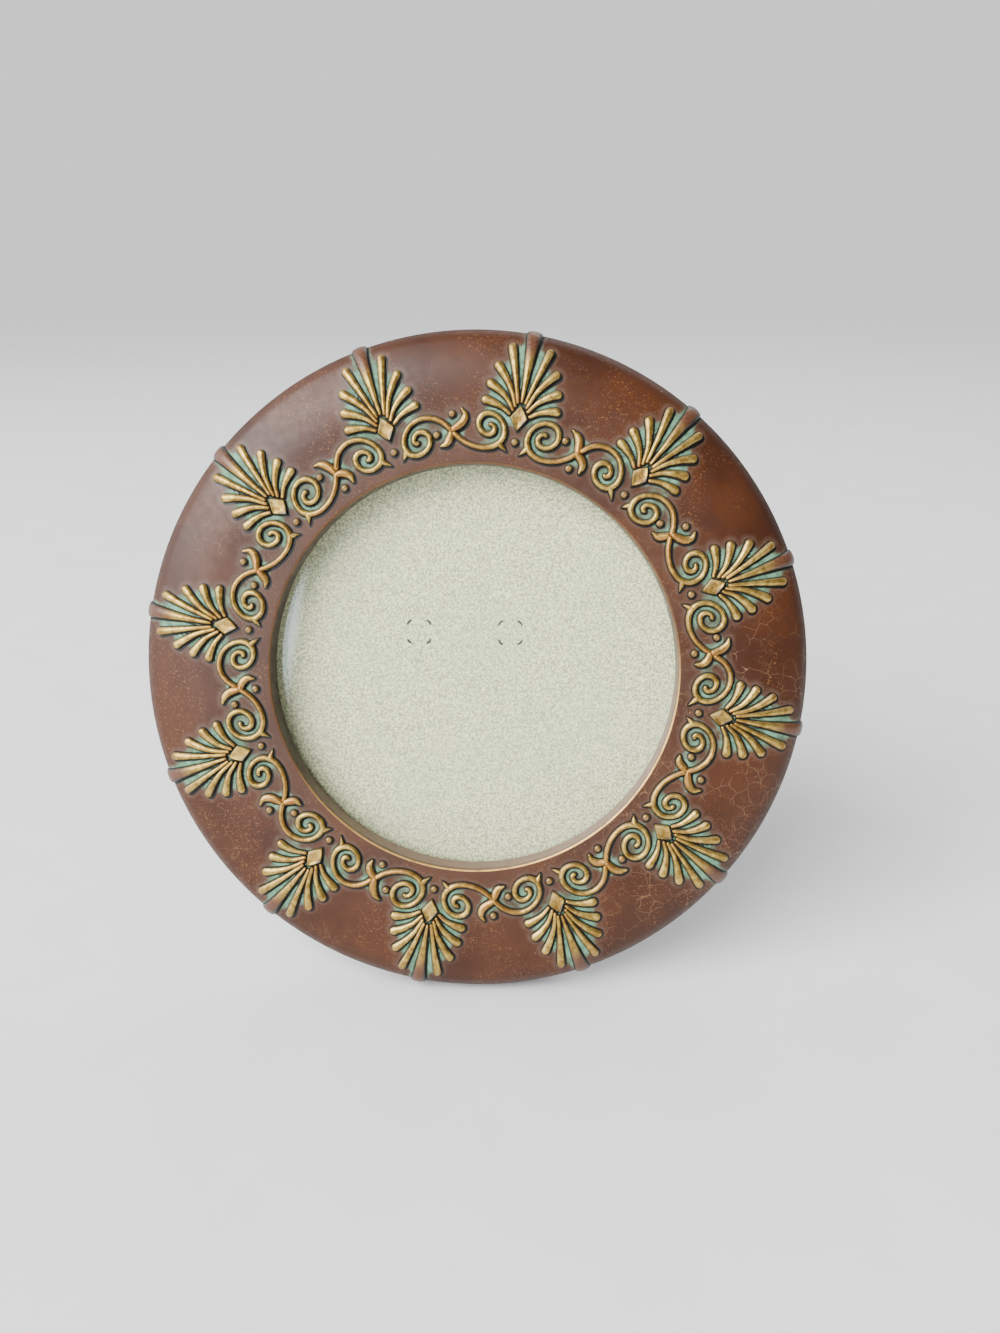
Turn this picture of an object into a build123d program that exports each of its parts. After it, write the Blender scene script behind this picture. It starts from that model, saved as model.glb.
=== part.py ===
from build123d import *
from math import atan2, cos, hypot, pi, radians, sin, tan
import os

# Round easel-back photo frame. It is drawn lying on its back, in millimetres: x to the right,
# y up the picture, z out of the front, with z = 0 on the flat back of the casting. At the end
# every piece is leaned back until the frame stands on its lower rim and on the foot of its leg.

# Casting: the opening, the face round it and the step that the glass sits in
SIGHT_RADIUS = 52.2
FACE_WIDTH = 33.9
SHOULDER_REACH = 17.1
FACE_HEIGHT = 13.4
RIM_ROUND = 5.5
WAIST_HEIGHT = 5.5
BACK_TAPER = 0.4
SHOULDER_BANDS = 2
RIM_BANDS = 2
ARRIS_CHAMFER = 0.4
RABBET_STEP = 4.3

# Glass, board and velour, stacked in the step from the front
GLASS_THICKNESS = 2.0
BOARD_THICKNESS = 3.0
VELOUR_THICKNESS = 0.9
STACK_INSET = 0.1
STACK_PLAY = 0.5
LEDGE_PLAY = 0.05

# Ornament: twelve palmettes on a circle, alternating with S-scrolls, turned from upright
PALMETTES = 12
ORNAMENT_TURN = -20.124
ORNAMENT_INSET = 12.0
WRAP_MARGIN = 0.8
ROOT_DEPTH = 0.5
PETAL_RELIEF = 1.1
WRAP_RELIEF = 1.6
PETAL_BASE_WIDTH = 0.8
FAN_ROOT = 6.0
PETAL_TIP_WIDTH = 1.9
WRAP_TIP_WIDTH = 3.4
STEM_RELIEF = 1.0
STEM_WIDTH = 1.6
LEAF_WIDTH = 2.0
BEAD_WIDTH = 1.7
BEAD_RELIEF = 0.9
BEAD_SIDES = 5
DIAMOND_WIDTH = 4.4
DIAMOND_LENGTH = 6.2
DIAMOND_RELIEF = 1.0
DIAMOND_BEVEL = 0.5

# Leg: it turns on a pin behind the board and stops with its foot on the table
LEAN = 15.0
LEG_OPENING = 27.0
LEG_THICKNESS = 3.0
LEG_VELOUR = 0.8
LEG_TOP_WIDTH = 27.0
LEG_FOOT_WIDTH = 40.0
LEG_FOOT_CORNER = 4.0
LEG_TOP_CORNER = 5.0
LEG_TOP_GAP = 0.8
VELOUR_MARGIN = 0.5

# Hinge: two pressed leaves, knuckles round one pin, and a stop that bears on the upper leaf
HINGE_OFFSET = -2.9
HINGE_HEIGHT = 2.0
PLATE = 0.7
KNUCKLE_RADIUS = 1.6
PIN_RADIUS = 0.9
PIN_PLAY = 0.05
PIN_END = 0.5
KNUCKLE_GAP = 0.3
KNUCKLE_CLEARANCE = 0.3
LEG_PLATE_RISE = 0.3
MIDDLE_KNUCKLE = 11.0
HINGE_WIDTH = 34.0
BOARD_LEAF_LENGTH = 13.0
LEG_LEAF_LENGTH = 14.0
LEG_LEAF_WIDTH = 22.0
LEAF_CORNER = 3.0
STOP_LENGTH = 4.6
STOP_PLAY = 0.03

# Rivets: heads only, the upper two in one with their leaf, with as many sides as the screws
RIVET_SPACING = 24.0
RIVET_HEIGHT = 9.0
RIVET_HEAD_RADIUS = 3.1
RIVET_HEAD = 1.1
HEAD_BEVEL = 0.9
FASTENER_SIDES = 12
LEG_RIVET_SPACING = 13.0
LEG_RIVET_DROP = 10.0

# Turn buttons: four strips that swing on screws behind the casting and hold the board in
BUTTONS = 4
BUTTON_TURN = 45.0
BUTTON_INSET = 8.0
BUTTON_HEEL = 4.0
BUTTON_LENGTH = 13.5
BUTTON_WIDTH = 8.0
BUTTON_TIP_WIDTH = 5.5
BUTTON_CORNER = 1.8
BUTTON_THICKNESS = 1.0
BUTTON_GAP = 0.2
SCREW_RADIUS = 1.4
SCREW_HEAD_RADIUS = 2.8
SCREW_HEAD = 1.2
SCREW_DEPTH = 3.6
HOLE_PLAY = 0.02
OVERRUN = 2.0
FLATNESS = 0.0000001

# Petals beside the middle one, base to tip, as shares of the palmette's reach: across, along
petal_shares = (
    ((0.041, 0.164), (0.102, 0.385), (0.159, 0.585), (0.201, 0.752)),
    ((0.061, 0.123), (0.122, 0.261), (0.207, 0.389), (0.301, 0.510)),
    ((0.081, 0.082), (0.163, 0.187), (0.252, 0.261), (0.353, 0.327)),
    ((0.110, 0.037), (0.182, 0.088), (0.272, 0.127), (0.373, 0.159)),
)
middle_petal_shares = ((0.0, 0.18), (0.0, 0.53), (0.0, 0.75), (0.0, 0.95))

# Scroll arms in the two kinds of gap, as shares of half a gap: centre across and along, reach of
# the stem, radius of the coil and of its eye. The turns are the start angle and the sweep in
# degrees and how soon the stem falls into the coil.
arm_shares = {
    "first_outer": (-0.515, -0.297, 0.499, 0.239, 0.036),
    "first_inner": (0.547, -0.161, 0.537, 0.225, 0.036),
    "second_outer": (-0.497, -0.269, 0.450, 0.216, 0.045),
    "second_inner": (0.516, -0.188, 0.515, 0.257, 0.041),
}
arm_turns = {
    "first_outer": (9.7, 580.0, 9.5),
    "first_inner": (191.7, 577.0, 9.5),
    "second_outer": (13.6, 585.0, 5.5),
    "second_inner": (186.0, 607.0, 9.9),
}

# Leaves and beads of the scrolls, as shares of half a gap: across, along
first_leaf_shares = (
    ((0.012, -0.200), (0.107, -0.149), (0.173, -0.089), (0.205, -0.006), (0.160, 0.085)),
    ((-0.030, -0.265), (-0.062, -0.345), (-0.100, -0.400), (-0.185, -0.430)),
)
second_leaf_shares = (
    ((0.000, -0.200), (-0.030, -0.080), (-0.105, 0.015), (-0.190, 0.052)),
    ((0.012, -0.244), (0.107, -0.286), (0.161, -0.363), (0.155, -0.464)),
)
first_bead_shares = ((0.000, 0.024), (-0.244, -0.250))
second_bead_shares = ((-0.226, -0.125), (0.000, -0.476))
axis_bead_share = -0.351

# Rows across the fan of side petals, from base to tip: share of the petal's length and relief on
# the crests, then the same in the valleys
fan_rows_shares = (
    (0.00, 0.9, 0.02, 0.4),
    (0.50, 1.15, 0.50, 0.55),
    (1.00, 0.9, 0.82, 0.4),
)
fan_point_share = 0.45

# Along a ridge: sections from base to tip, and the width and height of each as shares
station_shares = (0.0, 0.5, 1.0)
wrap_station_shares = (0.0, 0.55, 0.80, 1.0)
nose_reach_share = 1.0
nose_width_share = 0.5
leaf_width_shares = (0.8, 1.0, 0.7)
arm_sections = 12
bead_top_share = 0.5

rim_radius = SIGHT_RADIUS + FACE_WIDTH
back_radius = rim_radius - BACK_TAPER
crown_radius = rim_radius - SHOULDER_REACH
rabbet_radius = SIGHT_RADIUS + RABBET_STEP
ornament_radius = SIGHT_RADIUS + ORNAMENT_INSET
half_gap = pi * ornament_radius / PALMETTES

# The face: flat out to the crown, then a wide and a tight arc round to the waist
crown_drop = FACE_HEIGHT - WAIST_HEIGHT
shoulder_run = SHOULDER_REACH - RIM_ROUND
shoulder_arc = (shoulder_run ** 2 + crown_drop ** 2 - RIM_ROUND ** 2) / (2 * (crown_drop - RIM_ROUND))
shoulder_angle = atan2(shoulder_run, shoulder_arc - crown_drop)
shoulder_length = shoulder_arc * shoulder_angle
waist_length = shoulder_length + RIM_ROUND * (pi / 2 - shoulder_angle)
ornament_length = ornament_radius - crown_radius
palmette_reach = waist_length - ornament_length - WRAP_MARGIN

board_back = STACK_INSET + VELOUR_THICKNESS
glass_back = board_back + BOARD_THICKNESS
glass_front = glass_back + GLASS_THICKNESS
ledge_height = glass_front + LEDGE_PLAY
stack_radius = rabbet_radius - STACK_PLAY

hinge_depth = STACK_INSET - KNUCKLE_CLEARANCE - KNUCKLE_RADIUS
leaf_back = STACK_INSET - PLATE
leg_front = leaf_back - LEG_PLATE_RISE
leg_back = leg_front - LEG_THICKNESS
stand_drop = back_radius * cos(radians(LEAN))
hinge_rise = HINGE_HEIGHT * cos(radians(LEAN)) + hinge_depth * sin(radians(LEAN)) + stand_drop

button_radius = rabbet_radius + BUTTON_INSET
button_front = -BUTTON_GAP
button_back = button_front - BUTTON_THICKNESS


def face_point(length):
    """Radius, height and slope of the face at a length along it, outwards from the crown."""
    if length < 0:
        return crown_radius + length, FACE_HEIGHT, 0
    if length < shoulder_length:
        angle = length / shoulder_arc
        return (crown_radius + shoulder_arc * sin(angle),
                FACE_HEIGHT - shoulder_arc * (1 - cos(angle)), angle)
    angle = shoulder_angle + (length - shoulder_length) / RIM_ROUND
    if angle < pi / 2:
        return (rim_radius - RIM_ROUND * (1 - sin(angle)),
                WAIST_HEIGHT + RIM_ROUND * cos(angle), angle)
    return rim_radius, WAIST_HEIGHT - (length - waist_length), pi / 2


def on_face(across, along, azimuth):
    """Point of the face, with its side, outward and normal directions.

    across and along are lengths on the face from a palmette's or gap's own axis and from the
    ornament circle, and azimuth turns that axis clockwise from the top, seen from the front.
    """
    radius, height, slope = face_point(ornament_length + along)
    turn = radians(azimuth) + across / radius
    out = Vector(sin(turn), cos(turn), 0)
    side = Vector(cos(turn), -sin(turn), 0)
    rise = Vector(0, 0, 1)
    return (out * radius + rise * height, side,
            out * cos(slope) - rise * sin(slope), out * sin(slope) + rise * cos(slope))


def skin(outlines):
    """Solid of flat facets through outlines that have the same number of corners."""
    faces = [Face(Wire.make_polygon(outlines[0], close=True)),
             Face(Wire.make_polygon(outlines[-1], close=True))]
    for lower, upper in zip(outlines, outlines[1:]):
        for i in range(len(lower)):
            j = (i + 1) % len(lower)
            a, b, c, d = lower[i], lower[j], upper[j], upper[i]
            flatness = abs((b - a).cross(c - a).normalized().dot(d - a))
            corners = [(a, b, c, d)] if flatness < FLATNESS else [(a, b, c), (a, c, d)]
            faces += [Face(Wire.make_polygon(each, close=True)) for each in corners]
    return Solid(Shell(faces))


def section(point, heading, normal, width, relief):
    """Three corners across a ridge: a crest, and two flanks that run down into the casting."""
    lateral = heading.cross(normal)
    foot = width / 2 * (1 + ROOT_DEPTH / max(relief, ROOT_DEPTH))
    return [point - lateral * foot - normal * ROOT_DEPTH, point + normal * relief,
            point + lateral * foot - normal * ROOT_DEPTH]


def mitres(points):
    """Heading at each point of a path, lengthened at a bend so that straight runs keep their width."""
    runs = [(end - start).normalized() for start, end in zip(points, points[1:])]
    bends = [(before + after) * (2 / (before + after).length ** 2) for before, after in zip(runs, runs[1:])]
    return [runs[0]] + bends + [runs[-1]]


def ridge(places, widths, reliefs, azimuth):
    """Raised stroke along places on the face, with a nose at its far end that dips into it."""
    places, widths, reliefs = list(places), list(widths), list(reliefs)
    (back_x, back_y), (tip_x, tip_y) = places[-2:]
    step = nose_reach_share * widths[-1] / 2 / hypot(tip_x - back_x, tip_y - back_y)
    places.append((blend(tip_x, back_x, -step), blend(tip_y, back_y, -step)))
    widths.append(widths[-1] * nose_width_share)
    reliefs.append(-ROOT_DEPTH / 2)
    frames = [on_face(*place, azimuth) for place in places]
    points, normals = [frame[0] for frame in frames], [frame[-1] for frame in frames]
    return skin([section(*values) for values in zip(points, mitres(points), normals, widths, reliefs)])


def scaled(shares, unit):
    return [(across * unit, along * unit) for across, along in shares]


def mirrored(places):
    return [(-across, along) for across, along in places]


def blend(start, end, share):
    return start + (end - start) * share


def petal(places, azimuth):
    """The middle petal: a club-shaped ridge that runs over the shoulder and round the rim."""
    line = Spline(*[Vector(x, y) for x, y in places])
    spots = [line @ share for share in wrap_station_shares]
    return ridge([(spot.X, spot.Y) for spot in spots],
                 [blend(PETAL_BASE_WIDTH, WRAP_TIP_WIDTH, share) for share in wrap_station_shares],
                 [blend(PETAL_RELIEF, WRAP_RELIEF, share) for share in wrap_station_shares], azimuth)


def prism_on_face(corners, top_share, relief, azimuth, centre=(0, 0)):
    """Raised boss with bevelled sides, its outline given round its own centre."""
    point, side, outward, normal = on_face(*centre, azimuth)
    root_share = 1 + (1 - top_share) * ROOT_DEPTH / relief
    return skin([[point + side * (x * share) + outward * (y * share) + normal * lift for x, y in corners]
                 for share, lift in ((root_share, -ROOT_DEPTH), (top_share, relief))])


def polygon(radius, sides):
    """Corners of a regular outline round the origin."""
    return [Vector(radius, 0, 0).rotate(Axis.Z, 360 / sides * i) for i in range(sides)]


def bead(across, along, azimuth):
    corners = [(corner.X, corner.Y) for corner in polygon(BEAD_WIDTH / 2, BEAD_SIDES)]
    return prism_on_face(corners, bead_top_share, BEAD_RELIEF, azimuth, (across, along))


def fan_column(lines, column, row):
    """One point of the fan's half: a crest on its petal's line, or a valley between two lines."""
    crest_share, crest_relief, valley_share, valley_relief = row
    before, after = lines[max(column - 1, 0) // 2], lines[min(column // 2, len(lines) - 1)]
    crest, low, high = after @ crest_share, before @ valley_share, after @ valley_share
    if column == 0:
        return (0, high.Y), valley_relief
    if column % 2:
        return (crest.X, crest.Y), crest_relief
    if column < 2 * len(lines):
        return ((low.X + high.X) / 2, (low.Y + high.Y) / 2), valley_relief
    heading = before % crest_share
    foot = blend(PETAL_BASE_WIDTH, PETAL_TIP_WIDTH, crest_share) / 2
    return (crest.X + heading.Y * foot, crest.Y - heading.X * foot), 0


def fan(azimuth):
    """The eight side petals as one fluted solid: its walls go straight down, to a deep point."""
    lines = [Spline(*[Vector(x, y) for x, y in scaled(shares, palmette_reach)]) for shares in petal_shares]
    rows = []
    for row in fan_rows_shares:
        half = [fan_column(lines, column, row) for column in range(2 * len(lines) + 1)]
        whole = [((-x, y), relief) for (x, y), relief in reversed(half[1:])] + half
        frames = [(on_face(*place, azimuth), relief * PETAL_RELIEF) for place, relief in whole]
        rows.append([frame[0] + frame[-1] * relief for frame, relief in frames])
    middle = on_face(0, fan_point_share * palmette_reach, azimuth)
    down = middle[-1] * -(PETAL_RELIEF + ROOT_DEPTH)
    corners = []
    for low, high in zip(rows, rows[1:]):
        for i in range(len(low) - 1):
            corners += [(low[i], low[i + 1], high[i + 1]), (low[i], high[i + 1], high[i])]
    edge = rows[0] + [row[-1] for row in rows[1:-1]] + rows[-1][::-1] + [row[0] for row in rows[-2:0:-1]]
    for start, end in zip(edge, edge[1:] + edge[:1]):
        corners += [(start, end, end + down, start + down)]
        corners += [(middle[0] - middle[-1] * FAN_ROOT, start + down, end + down)]
    return Solid(Shell([Face(Wire.make_polygon(each, close=True)) for each in corners]))


def palmette(azimuth):
    """Nine petals fanned over a diamond, with a bead below it on the same axis."""
    pieces = [fan(azimuth), petal(scaled(middle_petal_shares, palmette_reach), azimuth)]
    half_width, half_length = DIAMOND_WIDTH / 2, DIAMOND_LENGTH / 2
    corners = [(half_width, 0), (0, half_length), (-half_width, 0), (0, -half_length)]
    pieces.append(prism_on_face(corners, 1 - DIAMOND_BEVEL / half_width, DIAMOND_RELIEF, azimuth))
    pieces.append(bead(0, axis_bead_share * half_gap, azimuth))
    return pieces


def arm_place(name, share):
    """Place on a scroll arm: its stem sweeps in from the gap's middle and winds into a coil."""
    across, along, reach, coil, eye = (value * half_gap for value in arm_shares[name])
    start, sweep, fall = arm_turns[name]
    radius = eye + (coil - eye) * (1 - share ** 2) + (reach - coil) * (1 - share) ** fall
    angle = radians(start + sweep * share)
    return across + radius * cos(angle), along + radius * sin(angle)


def arm(name, flip, azimuth):
    """Scroll arm. The outer and inner arms of a gap wind the same way."""
    places = [arm_place(name, i / (arm_sections - 1)) for i in range(arm_sections)]
    return ridge(mirrored(places) if flip else places, [STEM_WIDTH] * arm_sections,
                 [STEM_RELIEF] * arm_sections, azimuth)


def leaf(places, azimuth):
    line = Spline(*[Vector(x, y) for x, y in places])
    spots = [line @ share for share in station_shares]
    widths = [LEAF_WIDTH * share for share in leaf_width_shares]
    return ridge([(spot.X, spot.Y) for spot in spots], widths,
                 [STEM_RELIEF] * len(spots), azimuth)


def scroll(kind, azimuth):
    """S-scroll of one gap: two arms and two leaves from one knot, and two beads."""
    flip = kind == "second"
    leaves = first_leaf_shares if kind == "first" else second_leaf_shares
    beads = first_bead_shares if kind == "first" else second_bead_shares
    pieces = [arm(kind + end, flip, azimuth) for end in ("_outer", "_inner")]
    pieces += [leaf(scaled(shares, half_gap), azimuth) for shares in leaves]
    pieces += [bead(*place, azimuth) for place in scaled(beads, half_gap)]
    return pieces


def casting_profile():
    """Half section of the casting in the x-z plane: back, rim, rounded face, arris and step."""
    bands = [waist_length - (waist_length - shoulder_length) * i / RIM_BANDS for i in range(RIM_BANDS)]
    bands += [shoulder_length * (1 - i / SHOULDER_BANDS) for i in range(SHOULDER_BANDS + 1)]
    edges = [
        Line((rabbet_radius, 0), (back_radius, 0)),
        Line((back_radius, 0), (rim_radius, WAIST_HEIGHT)),
        *[Line(face_point(start)[:2], face_point(end)[:2]) for start, end in zip(bands, bands[1:])],
        Line((crown_radius, FACE_HEIGHT), (SIGHT_RADIUS, FACE_HEIGHT)),
        Line((SIGHT_RADIUS, FACE_HEIGHT), (SIGHT_RADIUS, ledge_height)),
        Line((SIGHT_RADIUS, ledge_height), (rabbet_radius, ledge_height)),
        Line((rabbet_radius, ledge_height), (rabbet_radius, 0)),
    ]
    section_face = make_face(edges)
    arris = section_face.vertices().sort_by_distance((SIGHT_RADIUS, FACE_HEIGHT))[0]
    return Plane.XZ * chamfer(arris, ARRIS_CHAMFER)


def frame_ring():
    """One casting: the ring with its raised ornament, and pilot holes for the button screws.

    The ornament repeats every second palmette, so one such segment is carved and copied round.
    """
    pitch = 360 / PALMETTES
    segment = 2 * pitch
    body = Rot(0, 0, 90 - segment) * revolve(casting_profile(), Axis.Z, segment)
    pieces = palmette(0) + palmette(pitch) + palmette(segment)
    pieces += scroll("first", pitch / 2) + scroll("second", pitch + pitch / 2)
    reach = rim_radius + WRAP_RELIEF + OVERRUN
    depth = FACE_HEIGHT + PETAL_RELIEF + OVERRUN
    outline = Polyline((0, 0), (reach, 0), (reach, depth), (0, depth), close=True)
    room = revolve(Plane.XZ * make_face(outline), Axis.Z, segment)
    carved = body.fuse(*pieces) & (Rot(0, 0, 90 - segment) * room)
    copies = [Rot(0, 0, -ORNAMENT_TURN - segment * i) * carved for i in range(int(360 / segment))]
    ring = copies[0].fuse(*copies[1:])
    for place in button_places():
        ring -= place * shank(SCREW_RADIUS + HOLE_PLAY, -OVERRUN, SCREW_DEPTH + HOLE_PLAY)
    return ring


def button_places():
    """Where the buttons pivot on the back: each local +Y points out to the rim."""
    return [Rot(0, 0, BUTTON_TURN + 360 / BUTTONS * i) * Pos(0, button_radius, 0)
            for i in range(BUTTONS)]


def disc(radius, low, high):
    return Pos(0, 0, (low + high) / 2) * Cylinder(radius, high - low)


def rivet_places():
    return [Pos(HINGE_OFFSET + side * RIVET_SPACING / 2, RIVET_HEIGHT, 0) for side in (-1, 1)]


def glass_disc():
    return disc(stack_radius, glass_back, glass_front)


def back_board():
    return disc(stack_radius, board_back, glass_back)


def board_velour():
    return disc(stack_radius, STACK_INSET, board_back)


def shank(radius, low, high):
    return Pos(0, 0, low) * extrude(RegularPolygon(radius, FASTENER_SIDES), high - low, dir=(0, 0, 1))


def head(radius, height, base):
    """Low head with sloping sides, which stands out behind its base."""
    rings = ((radius - HEAD_BEVEL, base - height), (radius, base))
    return skin([[corner + Vector(0, 0, z) for corner in polygon(size, FASTENER_SIDES)] for size, z in rings])


def plate(width, low_y, high_y, low_z, high_z, corner_ys=()):
    """Flat plate centred on the hinge, its corners at the given heights rounded."""
    middle = Pos(HINGE_OFFSET, (low_y + high_y) / 2, (low_z + high_z) / 2)
    blank = middle * Box(width, high_y - low_y, high_z - low_z)
    rounded = [edge for edge in blank.edges().filter_by(Axis.Z)
               for y in corner_ys if abs(edge.center().Y - y) < LEAF_CORNER]
    return fillet(rounded, LEAF_CORNER) if rounded else blank


def barrel(low_x, high_x, radius):
    """Cylinder along the pin, between two places across from the hinge's middle."""
    middle = Pos(HINGE_OFFSET + (low_x + high_x) / 2, HINGE_HEIGHT, hinge_depth)
    return middle * Rot(0, 90, 0) * Cylinder(radius, high_x - low_x)


def hinge_board_leaf():
    """Leaf with its rivets behind the board, rolled into two knuckles at its lower edge."""
    top = HINGE_HEIGHT + BOARD_LEAF_LENGTH
    leaf = plate(HINGE_WIDTH, HINGE_HEIGHT, top, leaf_back, STACK_INSET, (top,))
    inner = MIDDLE_KNUCKLE / 2 + KNUCKLE_GAP
    notch = KNUCKLE_RADIUS + KNUCKLE_GAP
    leaf -= plate(2 * inner, HINGE_HEIGHT - notch, HINGE_HEIGHT + notch,
                  leaf_back - OVERRUN, STACK_INSET + OVERRUN)
    for side in (-1, 1):
        ends = sorted((side * inner, side * HINGE_WIDTH / 2))
        leaf += barrel(*ends, KNUCKLE_RADIUS)
    for place in rivet_places():
        leaf += place * head(RIVET_HEAD_RADIUS, RIVET_HEAD, leaf_back)
    return leaf - barrel(-HINGE_WIDTH, HINGE_WIDTH, PIN_RADIUS + HOLE_PLAY)


def hinge_pin():
    reach = HINGE_WIDTH / 2 + PIN_END
    return barrel(-reach, reach, PIN_RADIUS)


def opened(piece):
    """Turn a piece of the folded leg about the pin, out to where the stop bears."""
    pin = Pos(0, HINGE_HEIGHT, hinge_depth)
    return pin * Rot(LEG_OPENING, 0, 0) * pin.inverse() * piece


def leg_rivet_places():
    drop = HINGE_HEIGHT - LEG_RIVET_DROP
    return [Pos(HINGE_OFFSET + side * LEG_RIVET_SPACING / 2, drop, 0) for side in (-1, 1)]


def hinge_leg_leaf():
    """Leaf of the leg, drawn folded: plate, middle knuckle and the stop beyond the pin."""
    low = HINGE_HEIGHT - LEG_LEAF_LENGTH
    leaf = plate(LEG_LEAF_WIDTH, low, HINGE_HEIGHT - KNUCKLE_RADIUS - KNUCKLE_GAP,
                 leg_front, leg_front + PLATE, (low,))
    leaf += plate(MIDDLE_KNUCKLE, HINGE_HEIGHT - KNUCKLE_RADIUS - LEAF_CORNER, HINGE_HEIGHT,
                  leg_front, leg_front + PLATE)
    leaf += barrel(-MIDDLE_KNUCKLE / 2, MIDDLE_KNUCKLE / 2, KNUCKLE_RADIUS)
    stop = plate(MIDDLE_KNUCKLE, HINGE_HEIGHT, HINGE_HEIGHT + KNUCKLE_RADIUS + STOP_LENGTH,
                 leaf_back - STOP_PLAY - PLATE, leaf_back - STOP_PLAY)
    leaf = opened(leaf) + stop
    return leaf - barrel(-MIDDLE_KNUCKLE, MIDDLE_KNUCKLE, PIN_RADIUS + PIN_PLAY)


def leg_outline():
    """Tapered leg, drawn folded: narrow and rounded at the hinge, wide at the foot."""
    top = HINGE_HEIGHT - KNUCKLE_RADIUS - LEG_TOP_GAP
    tilt = radians(LEG_OPENING - LEAN)
    low = HINGE_HEIGHT - hinge_rise / cos(tilt) - LEG_THICKNESS * tan(tilt)
    half_top, half_foot = LEG_TOP_WIDTH / 2, LEG_FOOT_WIDTH / 2
    corners = [(-half_foot, low), (half_foot, low), (half_top, top), (-half_top, top)]
    face = Pos(HINGE_OFFSET, 0) * make_face(Polyline(*corners, close=True))
    face = fillet(face.vertices().group_by(Axis.Y)[-1], LEG_TOP_CORNER)
    return fillet(face.vertices().group_by(Axis.Y)[0], LEG_FOOT_CORNER)


def lean_back():
    """From lying on its back to standing: lean the face and lift the lower rim to z = 0."""
    return Pos(0, 0, stand_drop) * Rot(90 - LEAN, 0, 0)


def below_table(gap):
    """What lies under the table that the standing frame rests on, raised by a gap."""
    size = 2 * rim_radius
    return lean_back().inverse() * Pos(0, 0, gap - size / 2) * Box(2 * size, 2 * size, size)


def leg_slab(outline, low_z, high_z, gap):
    """Layer of the leg, drawn folded, opened and cut off at the foot."""
    slab = Pos(0, 0, low_z) * extrude(outline, high_z - low_z, dir=(0, 0, 1))
    return opened(slab) - below_table(gap)


def leg_board():
    return leg_slab(leg_outline(), leg_back, leg_front, 0)


def leg_velour():
    outline = offset(leg_outline(), -VELOUR_MARGIN)
    return leg_slab(outline, leg_back - LEG_VELOUR, leg_back, VELOUR_MARGIN)


def leg_rivets():
    """Two rivet heads on the leg's velour."""
    base = leg_back - LEG_VELOUR
    return [opened(place * head(RIVET_HEAD_RADIUS, RIVET_HEAD, base)) for place in leg_rivet_places()]


def turn_button(place):
    """Tapered strip with clipped corners that swings on its screw with its tongue inwards."""
    half_heel, half_tip = BUTTON_WIDTH / 2, BUTTON_TIP_WIDTH / 2
    tip = BUTTON_HEEL - BUTTON_LENGTH
    corners = [(-half_heel, BUTTON_HEEL), (half_heel, BUTTON_HEEL), (half_tip, tip), (-half_tip, tip)]
    outline = make_face(Polyline(*corners, close=True))
    outline = chamfer(outline.vertices(), BUTTON_CORNER)
    strip = Pos(0, 0, button_back) * extrude(outline, BUTTON_THICKNESS, dir=(0, 0, 1))
    return place * (strip - disc(SCREW_RADIUS + PIN_PLAY, button_back - OVERRUN, OVERRUN))


def button_screws():
    """Four pan-head screws that the buttons turn on, driven into the casting."""
    base = button_back - PIN_PLAY
    screw = shank(SCREW_RADIUS, base, SCREW_DEPTH) + head(SCREW_HEAD_RADIUS, SCREW_HEAD, base)
    return [place * screw for place in button_places()]


def all_pieces():
    """Every node by name, with its solids lying on their back."""
    pieces = {
        "frame_ring": [frame_ring()],
        "glass_disc": [glass_disc()],
        "back_board": [back_board()],
        "board_velour": [board_velour()],
        "hinge_board_leaf": [hinge_board_leaf()],
        "hinge_pin": [hinge_pin()],
        "hinge_leg_leaf": [hinge_leg_leaf()],
        "leg_board": [leg_board()],
        "leg_velour": [leg_velour()],
        "leg_rivets": leg_rivets(),
        "button_screws": button_screws(),
    }
    for number, place in enumerate(button_places(), 1):
        pieces["turn_button_" + str(number)] = [turn_button(place)]
    return pieces


# Stand the frame up, with the middle of its footprint at the origin, and write each node
standing = {name: [lean_back() * solid for solid in solids] for name, solids in all_pieces().items()}
everything = Compound([solid for solids in standing.values() for solid in solids])
middle = everything.bounding_box().center()
os.makedirs("parts", exist_ok=True)
for name, solids in standing.items():
    placed = [Pos(-middle.X, -middle.Y, 0) * solid for solid in solids]
    shape = Compound(placed) if len(placed) > 1 else placed[0]
    export_step(shape, "parts/" + name + ".step")
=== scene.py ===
from math import atan2, cos, pi, radians, sin

import bpy
import numpy as np
from mathutils import Matrix, Vector


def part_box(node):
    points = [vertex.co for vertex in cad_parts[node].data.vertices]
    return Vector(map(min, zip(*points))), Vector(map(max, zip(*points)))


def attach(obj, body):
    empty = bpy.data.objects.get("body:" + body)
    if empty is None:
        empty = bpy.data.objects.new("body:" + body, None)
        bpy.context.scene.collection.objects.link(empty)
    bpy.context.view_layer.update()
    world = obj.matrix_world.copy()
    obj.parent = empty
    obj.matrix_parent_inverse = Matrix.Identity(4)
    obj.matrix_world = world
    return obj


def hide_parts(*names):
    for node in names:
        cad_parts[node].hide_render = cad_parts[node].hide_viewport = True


# Round easel-back photo frame, leaning back on its lower rim and its leg. The casting and its
# ornament are drawn lying on their back, in millimetres: x to the right, y up the picture, z out
# of the front, with z = 0 on the flat back. standing() turns such points into the row frame.

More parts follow.
